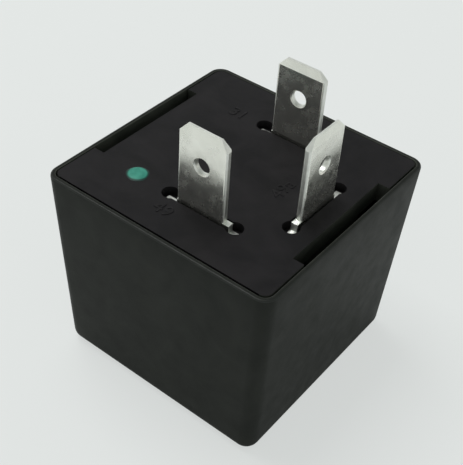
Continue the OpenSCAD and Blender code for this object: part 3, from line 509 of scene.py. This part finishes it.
def worked_metal(name, colour, tint, low, high, grain=(1, 1, 1), fine=0.15, depth=0.006):
    """Bare or plated metal: cloudy tint, uneven polish and a fine tool grain."""
    made, tree, shader, at = material(name, colour, metallic=1, roughness=low)
    mottled(tree, shader, noise(tree, at, 2.6, 4, 0.55, distortion=0.5), colour, tint,
            noise(tree, at, 0.9, 5, 0.6), low, high)
    bumped(tree, shader, (noise(tree, at, fine, 3, 0.55, stretch=grain), depth, 0.4))
    return made


def finish_node(node, finish):
    """Gives a CAD node its material."""
    mesh = frame["nodes"][node].data
    mesh.materials.clear()
    mesh.materials.append(finish)


def lathe(name, r, s, centre, axis="z", around=48):
    """Surface turned about an axis through a centre, all in mm.

    Station i is a circle of radius r[i] at the distance s[i] along the axis. A
    radius of 0 at both ends closes the poles.
    """
    turn = np.linspace(0, 2 * math.pi, around, endpoint=False)
    r, s = np.asarray(r, float)[:, None], np.asarray(s, float)[:, None]
    one, two, three = r * np.cos(turn), r * np.sin(turn), np.broadcast_to(s, (len(s), around))
    order = {"z": (one, two, three), "x": (three, one, two), "y": (two, three, one)}[axis]
    piece = skin(name, np.stack(order, -1) + np.asarray(centre, float))
    turned_out(piece)
    return piece


zinc = worked_metal("zinc_plate", (0.62, 0.64, 0.66), (0.70, 0.69, 0.60), 0.28, 0.42, (1, 1, 5))
yoke = rounded_copy("yoke", "yoke_bent", 0.08)
coated(yoke, [zinc])
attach(yoke, "housing")

iron = worked_metal("turned_iron", (0.66, 0.67, 0.68), (0.58, 0.58, 0.57), 0.22, 0.36, (1, 1, 0.3))
finish_node("core", iron)

nylon, tree, shader, at = material("natural_nylon", (0.70, 0.66, 0.52))
mottled(tree, shader, noise(tree, at, 3, 4, 0.6, distortion=0.6),
        (0.70, 0.66, 0.52), (0.80, 0.77, 0.66), noise(tree, at, 1.2, 4, 0.6), 0.34, 0.5)
bumped(tree, shader, (noise(tree, at, 0.2, 2, 0.5), 0.01, 0.3))
bobbin = rounded_copy("bobbin", "bobbin_moulding", 0.06)
coated(bobbin, [nylon])
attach(bobbin, "housing")


# ---------------------------------------------------------------- winding
# Some thousand turns of thin enamelled copper wire on the bobbin. Only the
# outer layer shows, one round wire close above the other.
wound_low, wound_high = box_mm("winding")
wound_x, wound_r = (wound_low[0] + wound_high[0]) / 2, (wound_high[0] - wound_low[0]) / 2
turns, per_turn = 50, 6
wire_d = (wound_high[2] - wound_low[2]) / turns
# the outline is a row of half circles, one wire thick each
climb = np.arange(turns * per_turn + 1) / per_turn
swell = np.sqrt(np.clip(0.25 - (climb % 1 - 0.5) ** 2, 0, None)) * wire_d
r = wound_r - wire_d / 2 + swell
z = wound_low[2] + climb * wire_d
hub_r = wound_r * 0.62
coil = lathe("winding_turns", np.concatenate([[hub_r], r, [hub_r, hub_r]]),
             np.concatenate([z[:1], z, z[-1:], z[:1]]), (wound_x, 0, 0), "z", 64)
smooth(coil, 60)

enamel, tree, shader, at = material("copper_enamel", (0.62, 0.20, 0.06), metallic=1)
mottled(tree, shader, noise(tree, at, 1.6, 4, 0.6, stretch=(1, 1, 0.15)),
        (0.50, 0.14, 0.045), (0.74, 0.27, 0.09), noise(tree, at, 0.8, 4, 0.6), 0.18, 0.34)
shader.inputs["Coat Weight"].default_value = 0.5
shader.inputs["Coat Roughness"].default_value = 0.15
coated(coil, [enamel])
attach(coil, "housing")
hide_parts("winding")
finish_node("coil_leads", enamel)


# ---------------------------------------------------------------- armature
# The armature is punched from zinc-plated iron. A bronze leaf is riveted under
# it, and the leaf's end carries a silver contact that meets a fixed one.
armature = rounded_copy("armature", "armature_punching", 0.07)
coated(armature, [zinc])
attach(armature, "armature_group")

bronze = worked_metal("rolled_bronze", (0.78, 0.52, 0.24), (0.70, 0.42, 0.18), 0.2, 0.34,
                      grain=(6, 1, 1), fine=0.1, depth=0.004)
finish_node("contact_spring", bronze)
rivet_metal = worked_metal("plated_rivet", (0.74, 0.74, 0.72), (0.62, 0.62, 0.60), 0.24, 0.4)
finish_node("spring_rivets", rivet_metal)
silver = worked_metal("silver_alloy", (0.90, 0.89, 0.84), (0.78, 0.76, 0.70), 0.2, 0.42,
                      fine=0.3, depth=0.01)
finish_node("moving_contact", silver)
finish_node("fixed_contact", silver)


# ---------------------------------------------------------------- return spring
# A close-wound spring of drawn steel wire. Its lower hook sits in the
# armature's tail and its upper hook in the yoke's lug, so it stretches a little
# as the armature closes.

def tube(name, path, first, radius, sides=12):
    """Round wire along a path in mm, with its seam and ends closed.

    A point of the wire is its station plus the radius times the cosine and the
    sine of its angle in two directions square to the path. The first direction
    is carried from station to station without twist, and the second is the
    cross product. The radius may differ for each point of the grid.
    """
    along = np.gradient(path, axis=0)
    along /= np.linalg.norm(along, axis=1, keepdims=True)
    one = np.empty_like(path)
    held = np.asarray(first, float)
    for station, heading in enumerate(along):
        held = held - heading * (held @ heading)
        held /= np.linalg.norm(held)
        one[station] = held
    two = np.cross(along, one)
    a = np.linspace(0, 2 * math.pi, sides, endpoint=False)[None, :, None]
    radius = np.broadcast_to(radius, (len(path), sides))[..., None]
    grid = path[:, None] + radius * (one[:, None] * np.cos(a) + two[:, None] * np.sin(a))
    piece = skin(name, grid, cap_start=True, cap_end=True)
    turned_out(piece)
    return piece


def eased(points, steps):
    """Path along a line of points in mm that bends at each inner point.

    Each bend is a parabola from the middle of one stretch to the middle of the
    next, drawn towards the point between them.
    """
    p = np.array(points, float)
    a, b = (p[:-2] + p[1:-1])[:, None] / 2, (p[1:-1] + p[2:])[:, None] / 2
    t = np.linspace(0, 1, steps, endpoint=False)[None, :, None]
    bends = a * (1 - t) ** 2 + 2 * p[1:-1, None] * t * (1 - t) + b * t ** 2
    return np.vstack([p[:1], bends.reshape(-1, 3), b[-1], p[-1:]])


def bridge(before, after, pull=1.3, steps=12):
    """Points between two paths, on the cubic curve that keeps both headings."""
    a, b = before[-1], after[0]
    reach = np.linalg.norm(b - a) * pull
    out = (before[-1] - before[-2]) / np.linalg.norm(before[-1] - before[-2]) * reach
    back_in = (after[1] - after[0]) / np.linalg.norm(after[1] - after[0]) * reach
    t = np.linspace(0, 1, steps + 2)[1:-1, None]
    return ((2 * t ** 3 - 3 * t ** 2 + 1) * a + (t ** 3 - 2 * t ** 2 + t) * out
            + (3 * t ** 2 - 2 * t ** 3) * b + (t ** 3 - t ** 2) * back_in)


spring_low, spring_high = box_mm("return_spring")
spring_x = (spring_low[0] + spring_high[0]) / 2
steel_d, windings, body_r = 0.3, 13, 1.1
hook_r = (spring_high[0] - spring_low[0] - steel_d) / 2 * 0.86
hook_low = spring_low[2] + steel_d / 2 + hook_r
hook_high = spring_high[2] - steel_d / 2 - hook_r


def hook(z, start, end):
    """Arc of the spring's end in the XZ plane, between two angles in degrees."""
    a = np.radians(np.linspace(start, end, 28))
    return np.stack([hook_r * np.cos(a), 0 * a, z + hook_r * np.sin(a)], -1)


share = np.arange(windings * 24 + 1) / (windings * 24)
a = np.radians(-90 + 360 * windings * share)
helix_low, helix_high = hook_low + hook_r + 0.5, hook_high - hook_r - 0.5
helix = np.stack([body_r * np.cos(a), body_r * np.sin(a),
                  helix_low + (helix_high - helix_low) * share], -1)
lower, upper = hook(hook_low, 150, 440), hook(hook_high, -80, 210)
path = np.vstack([lower, bridge(lower, helix), helix, bridge(helix, upper), upper])
spring = tube("return_spring_wire", path + [spring_x, 0, 0], (0, 1, 0), steel_d / 2)
smooth(spring, 70)
coated(spring, [worked_metal("drawn_steel", (0.60, 0.60, 0.61), (0.50, 0.50, 0.52),
                             0.2, 0.34, fine=0.1)])
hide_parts("return_spring")
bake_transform(spring)


# ---------------------------------------------------------------- contact braid
# A soft braid of copper strands takes the lamp current from the leaf to the
# board, loose enough to follow the armature.
braid_low, _ = box_mm("contact_braid")
braid_r = 0.45
board_y, hole_z = braid_low[1] + braid_r, 4.1
route = [(-1.35, board_y / 2, 3.66), (-2.95, board_y * 0.9, 3.46), (-3.3, board_y, 3.26),
         (-5.3, board_y, 3.26), (spring_x, board_y, hole_z), (-7.95, board_y, hole_z),
         (braid_low[0], board_y, hole_z)]
path = eased(route, 40)
run = np.concatenate([[0], np.cumsum(np.linalg.norm(np.diff(path, axis=0), axis=1))])
# two families of strands cross, and the higher one shows: each is a cosine of
# the angle plus or minus the distance along the braid
turn = np.linspace(0, 2 * math.pi, 48, endpoint=False)
strands, lay = 8, 2 * math.pi / 1.1
left_laid, right_laid = (np.abs(np.cos(strands / 2 * (turn + way * lay * run[:, None])))
                         for way in (1, -1))
braid = tube("contact_braid_strands", path, (0, 0, 1),
             braid_r - 0.09 * (1 - np.maximum(left_laid, right_laid)), 48)
smooth(braid, 80)
coated(braid, [worked_metal("braid_copper", (0.80, 0.42, 0.24), (0.62, 0.28, 0.14),
                            0.24, 0.44, fine=0.12, depth=0.01)])
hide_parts("contact_braid")
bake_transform(braid)


# ---------------------------------------------------------------- circuit board
# Pressed-paper laminate board, soldered to the two row terminals and the yoke's
# tab. Tinned copper tracks lie on both faces.
board_low, board_high = box_mm("circuit_board")
laminate, tree, shader, at = material("paper_laminate", (0.34, 0.20, 0.075))
mottled(tree, shader, noise(tree, at, 1.4, 5, 0.65, stretch=(1, 3, 1)),
        (0.28, 0.155, 0.055), (0.40, 0.25, 0.10), noise(tree, at, 2.2, 4, 0.6), 0.38, 0.56)
bumped(tree, shader, (noise(tree, at, 0.5, 3, 0.6, stretch=(1, 4, 1)), 0.01, 0.3))
finish_node("circuit_board", laminate)


def capsule(name, face, outward, start, end, width, thick=0.07):
    """Flat track on a board's face between two (y, z) places, with round ends.

    A point of its outline is one end's centre plus half the width times
    (cos a, sin a), where the half turn on each side takes its own end.
    """
    start, end = np.array(start, float), np.array(end, float)
    tilt = math.atan2(*(end - start)[::-1])
    a = np.linspace(-90, 90, 13)
    a = np.radians(np.concatenate([a, a + 180])) + tilt
    centre = np.vstack([np.tile(end, (13, 1)), np.tile(start, (13, 1))])
    reach = np.array([0.5, 0.5, 0.5 - 0.03 / width])[:, None]
    y = centre[None, :, 0] + width * reach * np.cos(a)
    z = centre[None, :, 1] + width * reach * np.sin(a)
    x = face + outward * np.array([-0.05, thick - 0.03, thick])[:, None]
    piece = skin(name, np.stack([np.broadcast_to(x, y.shape), y, z], -1),
                 cap_start=True, cap_end=True)
    turned_out(piece)
    return piece


# the leads meet the board in four columns and two rows; a track joins two such
# places through a third, and its last number is its width
far_l, near_l, near_r, far_r = -7.89, -4.62, 4.52, 7.8
low_row, high_row = 4.8, 14.96
front_tracks = [
    ((-8.5, 18.9), (-5.4, 17.6), (-2.5, 17.6), 1.5),
    ((2.5, 17.6), (0.2, 15.3), (0.2, 6.4), 1.5),
    ((0.2, 6.4), (-2.9, 4.2), (-2.9, 4.1), 1.5),
    ((-10, 15.86), (-8.9, high_row), (far_l, high_row), 0.6),
    ((10, 15.86), (9.1, high_row), (far_r, high_row), 0.6),
    ((near_r, high_row), (5.75, 15.9), (5.75, 16.6), 0.7),
    ((8.5, 18.9), (11, 16.9), (11, 6.2), 0.9),
    ((11, 6.2), (9.6, low_row), (far_r, low_row), 0.9),
    ((far_l, low_row), (-6.4, 4.1), (near_l, low_row), 0.6),
    ((near_r, low_row), (3.2, 6.1), (3.2, 13.6), 0.6),
    ((3.2, 13.6), (3.6, 14.1), (near_r, high_row), 0.6)]
back_tracks = [
    ((-1.9, 12.4), (-3.2, 13.7), (near_l, high_row), 0.5),
    ((-1.9, 6.4), (-3.1, 5.2), (near_l, low_row), 0.5),
    ((1.9, 6.4), (3.1, 5.2), (near_r, low_row), 0.5),
    ((1.9, 12.4), (3.2, 13.7), (near_r, high_row), 0.5),
    ((-0.64, 12.4), (-0.64, 15.6), (-1.0, 16.0), 0.5),
    ((-1.0, 16.0), (-6.7, 16.0), (far_l, high_row), 0.5),
    ((0.64, 12.4), (0.64, 15.6), (1.0, 16.0), 0.5),
    ((1.0, 16.0), (6.7, 16.0), (far_r, high_row), 0.5),
    ((-9.89, 12), (-9.89, 13.6), (far_l, high_row), 0.7),
    ((-9.89, 10), (-9.89, 6.9), (far_l, low_row), 0.7),
    ((10.2, 9.75), (10.2, 6.9), (far_r, low_row), 0.7),
    ((10.2, 12.25), (10.2, 13.4), (far_r, high_row), 0.7)]
pads = [(y, z, 2.0) for y in (far_l, near_l, near_r, far_r) for z in (low_row, high_row)]
pads += [(s * 2.5, 17.6, 2.6) for s in (-1, 1)] + [(s * 10, 15.86, 1.8) for s in (-1, 1)]
strips = []
for face, outward, tracks in ((board_high[0], 1, front_tracks), (board_low[0], -1, back_tracks)):
    for first, middle, last, width in tracks:
        strips.append(capsule("track", face, outward, first, middle, width))
        strips.append(capsule("track", face, outward, middle, last, width))
strips += [capsule("pad", board_high[0], 1, (y - 1e-3, z), (y + 1e-3, z), width)
           for y, z, width in pads]
tracks = merged("board_tracks", strips)
smooth(tracks, 40)
coated(tracks, [worked_metal("tinned_copper", (0.80, 0.79, 0.74), (0.70, 0.62, 0.50),
                             0.26, 0.44)])
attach(tracks, "housing")

solder = worked_metal("soft_solder", (0.74, 0.75, 0.76), (0.60, 0.61, 0.63), 0.2, 0.4,
                      fine=0.4, depth=0.02)
finish_node("solder_joints", solder)
resistance_wire = worked_metal("shunt_alloy", (0.52, 0.48, 0.42), (0.40, 0.36, 0.33), 0.3, 0.46)
finish_node("shunt_wire", resistance_wire)
tinned_wire = worked_metal("tinned_wire", (0.78, 0.79, 0.79), (0.66, 0.67, 0.67), 0.2, 0.36,
                           fine=0.1)
for node in ("timing_capacitor_leads", "timing_resistor_leads", "sensing_resistor_leads",
             "supply_resistor_leads", "coil_diode_leads", "disc_capacitor_leads",
             "flasher_chip_leads"):
    finish_node(node, tinned_wire)


# ---------------------------------------------------------------- flasher circuit
# The timing circuit in a small moulded package. Its black epoxy body has a
# dimple beside the first lead.
chip_low, chip_high = box_mm("flasher_chip")
chip_mid, chip_half = (chip_low + chip_high) / 2, (chip_high - chip_low) / 2
# the section is a rounded rectangle that leans in from the parting line, where
# the leads leave, to both faces
x = np.array([-1, -0.94, 0, 0.94, 1])
lean = 1 - np.array([0.16, 0.1, 0, 0.1, 0.16])
y, z = square_ring(chip_half[1] * lean, chip_half[2] * lean, [0.12, 0.16, 0.2, 0.16, 0.12], 4, 1)
body = np.stack([np.broadcast_to((chip_mid[0] + chip_half[0] * x)[:, None], y.shape),
                 chip_mid[1] + y, chip_mid[2] + z], -1)
chip = skin("flasher_chip_package", body, cap_start=True, cap_end=True)
turned_out(chip)
smooth(chip, 30)
beside_first = chip_mid + chip_half * (-1, -0.62, 0.6)
dimple = lathe("chip_dimple", [0, 0.28, 0.34, 0.3, 0], [-0.02, -0.02, 0.01, 0.05, 0.05],
               beside_first, "x", 24)
package = merged("flasher_chip_body", [chip, dimple])
smooth(package, 30)
coated(package, [moulding("chip_resin", (0.012, 0.012, 0.013), (0.022, 0.022, 0.024),
                          0.5, 0.62, 0.5, 0.4)])
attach(package, "housing")
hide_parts("flasher_chip")


# ---------------------------------------------------------------- timing capacitor
# A small electrolytic can in a shrunk sleeve with a pale stripe on its negative
# side. A rubber seal is rolled in at the board end.
can_low, can_high = box_mm("timing_capacitor")
can_mid, can_size = (can_low + can_high) / 2, can_high - can_low
can_r, can_l = can_size[1] / 2, can_size[0]
# from the board end: the rolled groove over the seal, the sleeve, its rolled
# edge and the bare end of the can
profile_r = can_r - np.array([can_r, 1.0, 0.5, 0.12, 0.02, 0, 0, 0.14, 0.22, 0.14, 0,
                              0, 0, 0.05, 0.2, 0.5, 0.62, 0.7, can_r])
profile_s = np.array([0, 0, 0, 0.05, 0.16, 0.3, 0.8, 0.95, 1.1, 1.25, 1.4,
                      3, can_l - 0.4, can_l - 0.16, can_l - 0.03, can_l, can_l - 0.02,
                      can_l - 0.1, can_l - 0.1])
electrolytic = lathe("timing_capacitor_can", profile_r, profile_s,
                     (can_low[0], can_mid[1], can_mid[2]), "x")
smooth(electrolytic, 40)
sleeve, tree, shader, at = material("capacitor_sleeve", (0.02, 0.035, 0.13))
sides = tree.nodes.new("ShaderNodeSeparateXYZ")
link(tree, at, sides.inputs[0])
stripe = ranged(tree, sides.outputs["Z"], 0, 1, (can_mid[2] + can_r * 0.80) * MM,
                (can_mid[2] + can_r * 0.81) * MM)
film = blended(tree, ranged(tree, noise(tree, at, 2, 3, 0.5), 0, 1),
               (0.015, 0.028, 0.11), (0.03, 0.05, 0.17))
link(tree, blended(tree, stripe, film, (0.62, 0.64, 0.66)), shader.inputs["Base Color"])
link(tree, ranged(tree, noise(tree, at, 1, 4, 0.6), 0.24, 0.4), shader.inputs["Roughness"])
bumped(tree, shader, (noise(tree, at, 1.2, 2, 0.5), 0.02, 0.25))
can_metal = worked_metal("can_aluminium", (0.80, 0.80, 0.81), (0.70, 0.70, 0.72), 0.24, 0.4)
facing, centre = face_rows(electrolytic)
from_axis = np.hypot(centre[:, 1] - can_mid[1], centre[:, 2] - can_mid[2])
bare = (centre[:, 0] > can_high[0] - 0.12) & (from_axis < can_r - 0.55)
coated(electrolytic, (sleeve, can_metal), bare)
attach(electrolytic, "housing")
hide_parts("timing_capacitor")

rubber, tree, shader, at = material("black_rubber", (0.02, 0.02, 0.022), specular=0.3)
mottled(tree, shader, noise(tree, at, 0.8, 4, 0.6), (0.014, 0.014, 0.015),
        (0.032, 0.032, 0.034), noise(tree, at, 0.5, 3, 0.6), 0.65, 0.85)
bumped(tree, shader, (noise(tree, at, 0.2, 3, 0.6), 0.01, 0.4))
finish_node("timing_capacitor_seal", rubber)


# ---------------------------------------------------------------- resistors
# Three film resistors stand along the back of the board. Each has pressed end
# caps under a lacquered body, and painted bands give its value.

def banded(name, low_z, high_z, body, bands, roughness=0.32):
    """Lacquer in a body colour with painted bands, each (start, end, colour).

    A band's start and end are shares of the piece's length, read from Z.
    """
    made, tree, shader, at = material(name, body)
    axes = tree.nodes.new("ShaderNodeSeparateXYZ")
    link(tree, at, axes.inputs[0])
    share = ranged(tree, axes.outputs["Z"], 0, 1, low_z * MM, high_z * MM)
    darker = tuple(c * 0.82 for c in body)
    colour = blended(tree, ranged(tree, noise(tree, at, 0.9, 4, 0.6), 0, 1), darker, body)
    for start, end, paint in bands:
        inside_band = tree.nodes.new("ShaderNodeMath")
        inside_band.operation = "COMPARE"
        inside_band.inputs[1].default_value = (start + end) / 2
        inside_band.inputs[2].default_value = (end - start) / 2
        link(tree, share, inside_band.inputs[0])
        colour = blended(tree, inside_band.outputs[0], colour, paint)
    link(tree, colour, shader.inputs["Base Color"])
    link(tree, ranged(tree, noise(tree, at, 0.6, 3, 0.6), roughness - 0.06, roughness + 0.1),
         shader.inputs["Roughness"])
    bumped(tree, shader, (noise(tree, at, 0.5, 3, 0.5), 0.015, 0.3))
    return made


paints = {"brown": (0.10, 0.035, 0.012), "red": (0.45, 0.02, 0.015),
          "yellow": (0.75, 0.52, 0.03), "violet": (0.16, 0.05, 0.28),
          "black": (0.012, 0.012, 0.012), "orange": (0.70, 0.20, 0.02),
          "gold": (0.48, 0.32, 0.08)}
values = {"timing_resistor": ("yellow", "violet", "orange", "gold"),
          "sensing_resistor": ("brown", "black", "red", "gold"),
          "supply_resistor": ("red", "red", "brown", "gold")}
band_at, half_band = (0.13, 0.36, 0.52, 0.84), 0.04
for node, colours in values.items():
    low, high = box_mm(node)
    mid, r, length = (low + high) / 2, (high[1] - low[1]) / 2, high[2] - low[2]
    cap, waist = 1.35, r * 0.86
    s = np.array([0, 0, 0.04, 0.14, 0.3, cap - 0.25, cap, cap + 0.3, length / 2])
    s = np.concatenate([s, length - s[-2::-1]])
    profile = np.array([0, r - 0.36, r - 0.2, r - 0.06, r, r, r * 0.95, waist, waist * 0.99])
    profile = np.concatenate([profile, profile[-2::-1]])
    body = lathe(node + "_body", profile, s, (mid[0], mid[1], low[2]), "z", 32)
    smooth(body, 40)
    bands = [(place - half_band, place + half_band, paints[colour])
             for place, colour in zip(band_at, colours)]
    coated(body, [banded(node + "_lacquer", low[2], high[2], (0.52, 0.40, 0.22), bands)])
    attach(body, "housing")
    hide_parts(node)


# ---------------------------------------------------------------- diode
# The diode across the coil is a small black epoxy cylinder, with a pale band at
# its cathode.
low, high = box_mm("coil_diode")
mid, r, length = (low + high) / 2, (high[1] - low[1]) / 2, high[2] - low[2]
diode = lathe("coil_diode_body",
              [0, r - 0.5, r - 0.22, r - 0.05, r, r, r - 0.05, r - 0.22, r - 0.5, 0],
              [0, 0, 0.05, 0.2, 0.4, length - 0.4, length - 0.2, length - 0.05, length, length],
              (mid[0], mid[1], low[2]), "z", 36)
smooth(diode, 40)
coated(diode, [banded("diode_resin", low[2], high[2], (0.014, 0.014, 0.015),
                      [(0.76, 0.92, (0.60, 0.60, 0.58))], 0.42)])
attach(diode, "housing")
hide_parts("coil_diode")


# ---------------------------------------------------------------- disc capacitor
# A ceramic disc dipped in ochre lacquer, which is thin at the rim and swells
# over the two electrodes.
low, high = box_mm("disc_capacitor")
mid, half = (low + high) / 2, (high - low) / 2
# its half section: the thickness goes as the sine of an angle, and the radius
# as a low power of its cosine, which keeps the faces nearly flat
b = np.radians(np.linspace(-90, 90, 25))
disc = lathe("disc_capacitor_body", half[0] * np.maximum(np.cos(b), 0) ** 0.45,
             half[1] * np.sin(b), mid, "y", 48)
smooth(disc, 60)
ochre, tree, shader, at = material("ochre_lacquer", (0.52, 0.24, 0.05))
mottled(tree, shader, noise(tree, at, 1.1, 4, 0.6), (0.44, 0.19, 0.035), (0.58, 0.29, 0.07),
        noise(tree, at, 0.7, 3, 0.6), 0.24, 0.38)
bumped(tree, shader, (noise(tree, at, 0.6, 3, 0.5), 0.03, 0.35))
coated(disc, [ochre])
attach(disc, "housing")
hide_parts("disc_capacitor")


# ---------------------------------------------------------------- floor and light
# A pale matt sheet under the relay, a large soft light above and behind it on
# the left, and a pale surround.
floor_z = (cover_low[2] - 0.02) * MM
sheet_r = np.array([0, 0.2, 0.5, 1.2, 3.0])
spin = np.linspace(0, 2 * math.pi, 64, endpoint=False)
sheet = np.stack([sheet_r[:, None] * np.cos(spin), sheet_r[:, None] * np.sin(spin),
                  np.full((5, 64), floor_z)], -1) / MM
floor = skin("floor_sheet", sheet)
turned_out(floor)
if floor.data.polygons[0].normal.z < 0:
    floor.data.flip_normals()
paper = (0.82, 0.845, 0.835)
floor_paper, tree, shader, at = material("floor_paper", paper, roughness=1.0, specular=0.0)
rays = tree.nodes.new("ShaderNodeLightPath")
seen = tree.nodes.new("ShaderNodeMath")
seen.operation = "MAXIMUM"
link(tree, rays.outputs["Is Camera Ray"], seen.inputs[0])
link(tree, ranged(tree, rays.outputs["Is Glossy Ray"], 0, 0.3, 0, 1), seen.inputs[1])
glow = tree.nodes.new("ShaderNodeEmission")
glow.inputs["Color"].default_value = (*paper, 1)
glow.inputs["Strength"].default_value = 1.0
mix = tree.nodes.new("ShaderNodeMixShader")
link(tree, ranged(tree, seen.outputs[0], 0, 0.7, 0, 1), mix.inputs[0])
link(tree, shader.outputs[0], mix.inputs[1])
link(tree, glow.outputs[0], mix.inputs[2])
link(tree, mix.outputs[0], tree.nodes["Material Output"].inputs["Surface"])
coated(floor, [floor_paper])

world = bpy.data.worlds.new("surround")
world.use_nodes = True
tree = world.node_tree
place = tree.nodes.new("ShaderNodeTexCoord")
height = tree.nodes.new("ShaderNodeSeparateXYZ")
link(tree, place.outputs["Generated"], height.inputs[0])
sky = blended(tree, ranged(tree, height.outputs["Z"], 0, 1, 0.1, 0.8),
              (0.72, 0.73, 0.71), (0.252, 0.276, 0.262))
rays = tree.nodes.new("ShaderNodeLightPath")
backdrop = blended(tree, rays.outputs["Is Camera Ray"], sky, (0.78, 0.80, 0.79))
link(tree, backdrop, tree.nodes["Background"].inputs["Color"])
bpy.context.scene.world = world


def lamp(name, at, aim, size, power):
    """Square area lamp of a size in metres, turned from its place to a point."""
    light = bpy.data.lights.new(name, "AREA")
    light.shape = "SQUARE"
    light.size, light.energy = size, power
    holder = bpy.data.objects.new(name, light)
    holder.location = at
    holder.rotation_mode = "QUATERNION"
    holder.rotation_quaternion = (Vector(aim) - Vector(at)).to_track_quat("-Z", "Y")
    bpy.context.collection.objects.link(holder)


lamp("key", (-0.24, 0.02, 0.60), (0, 0, 0.015), 0.35, 1.95)

view = bpy.context.scene.view_settings
view.view_transform = "Standard"
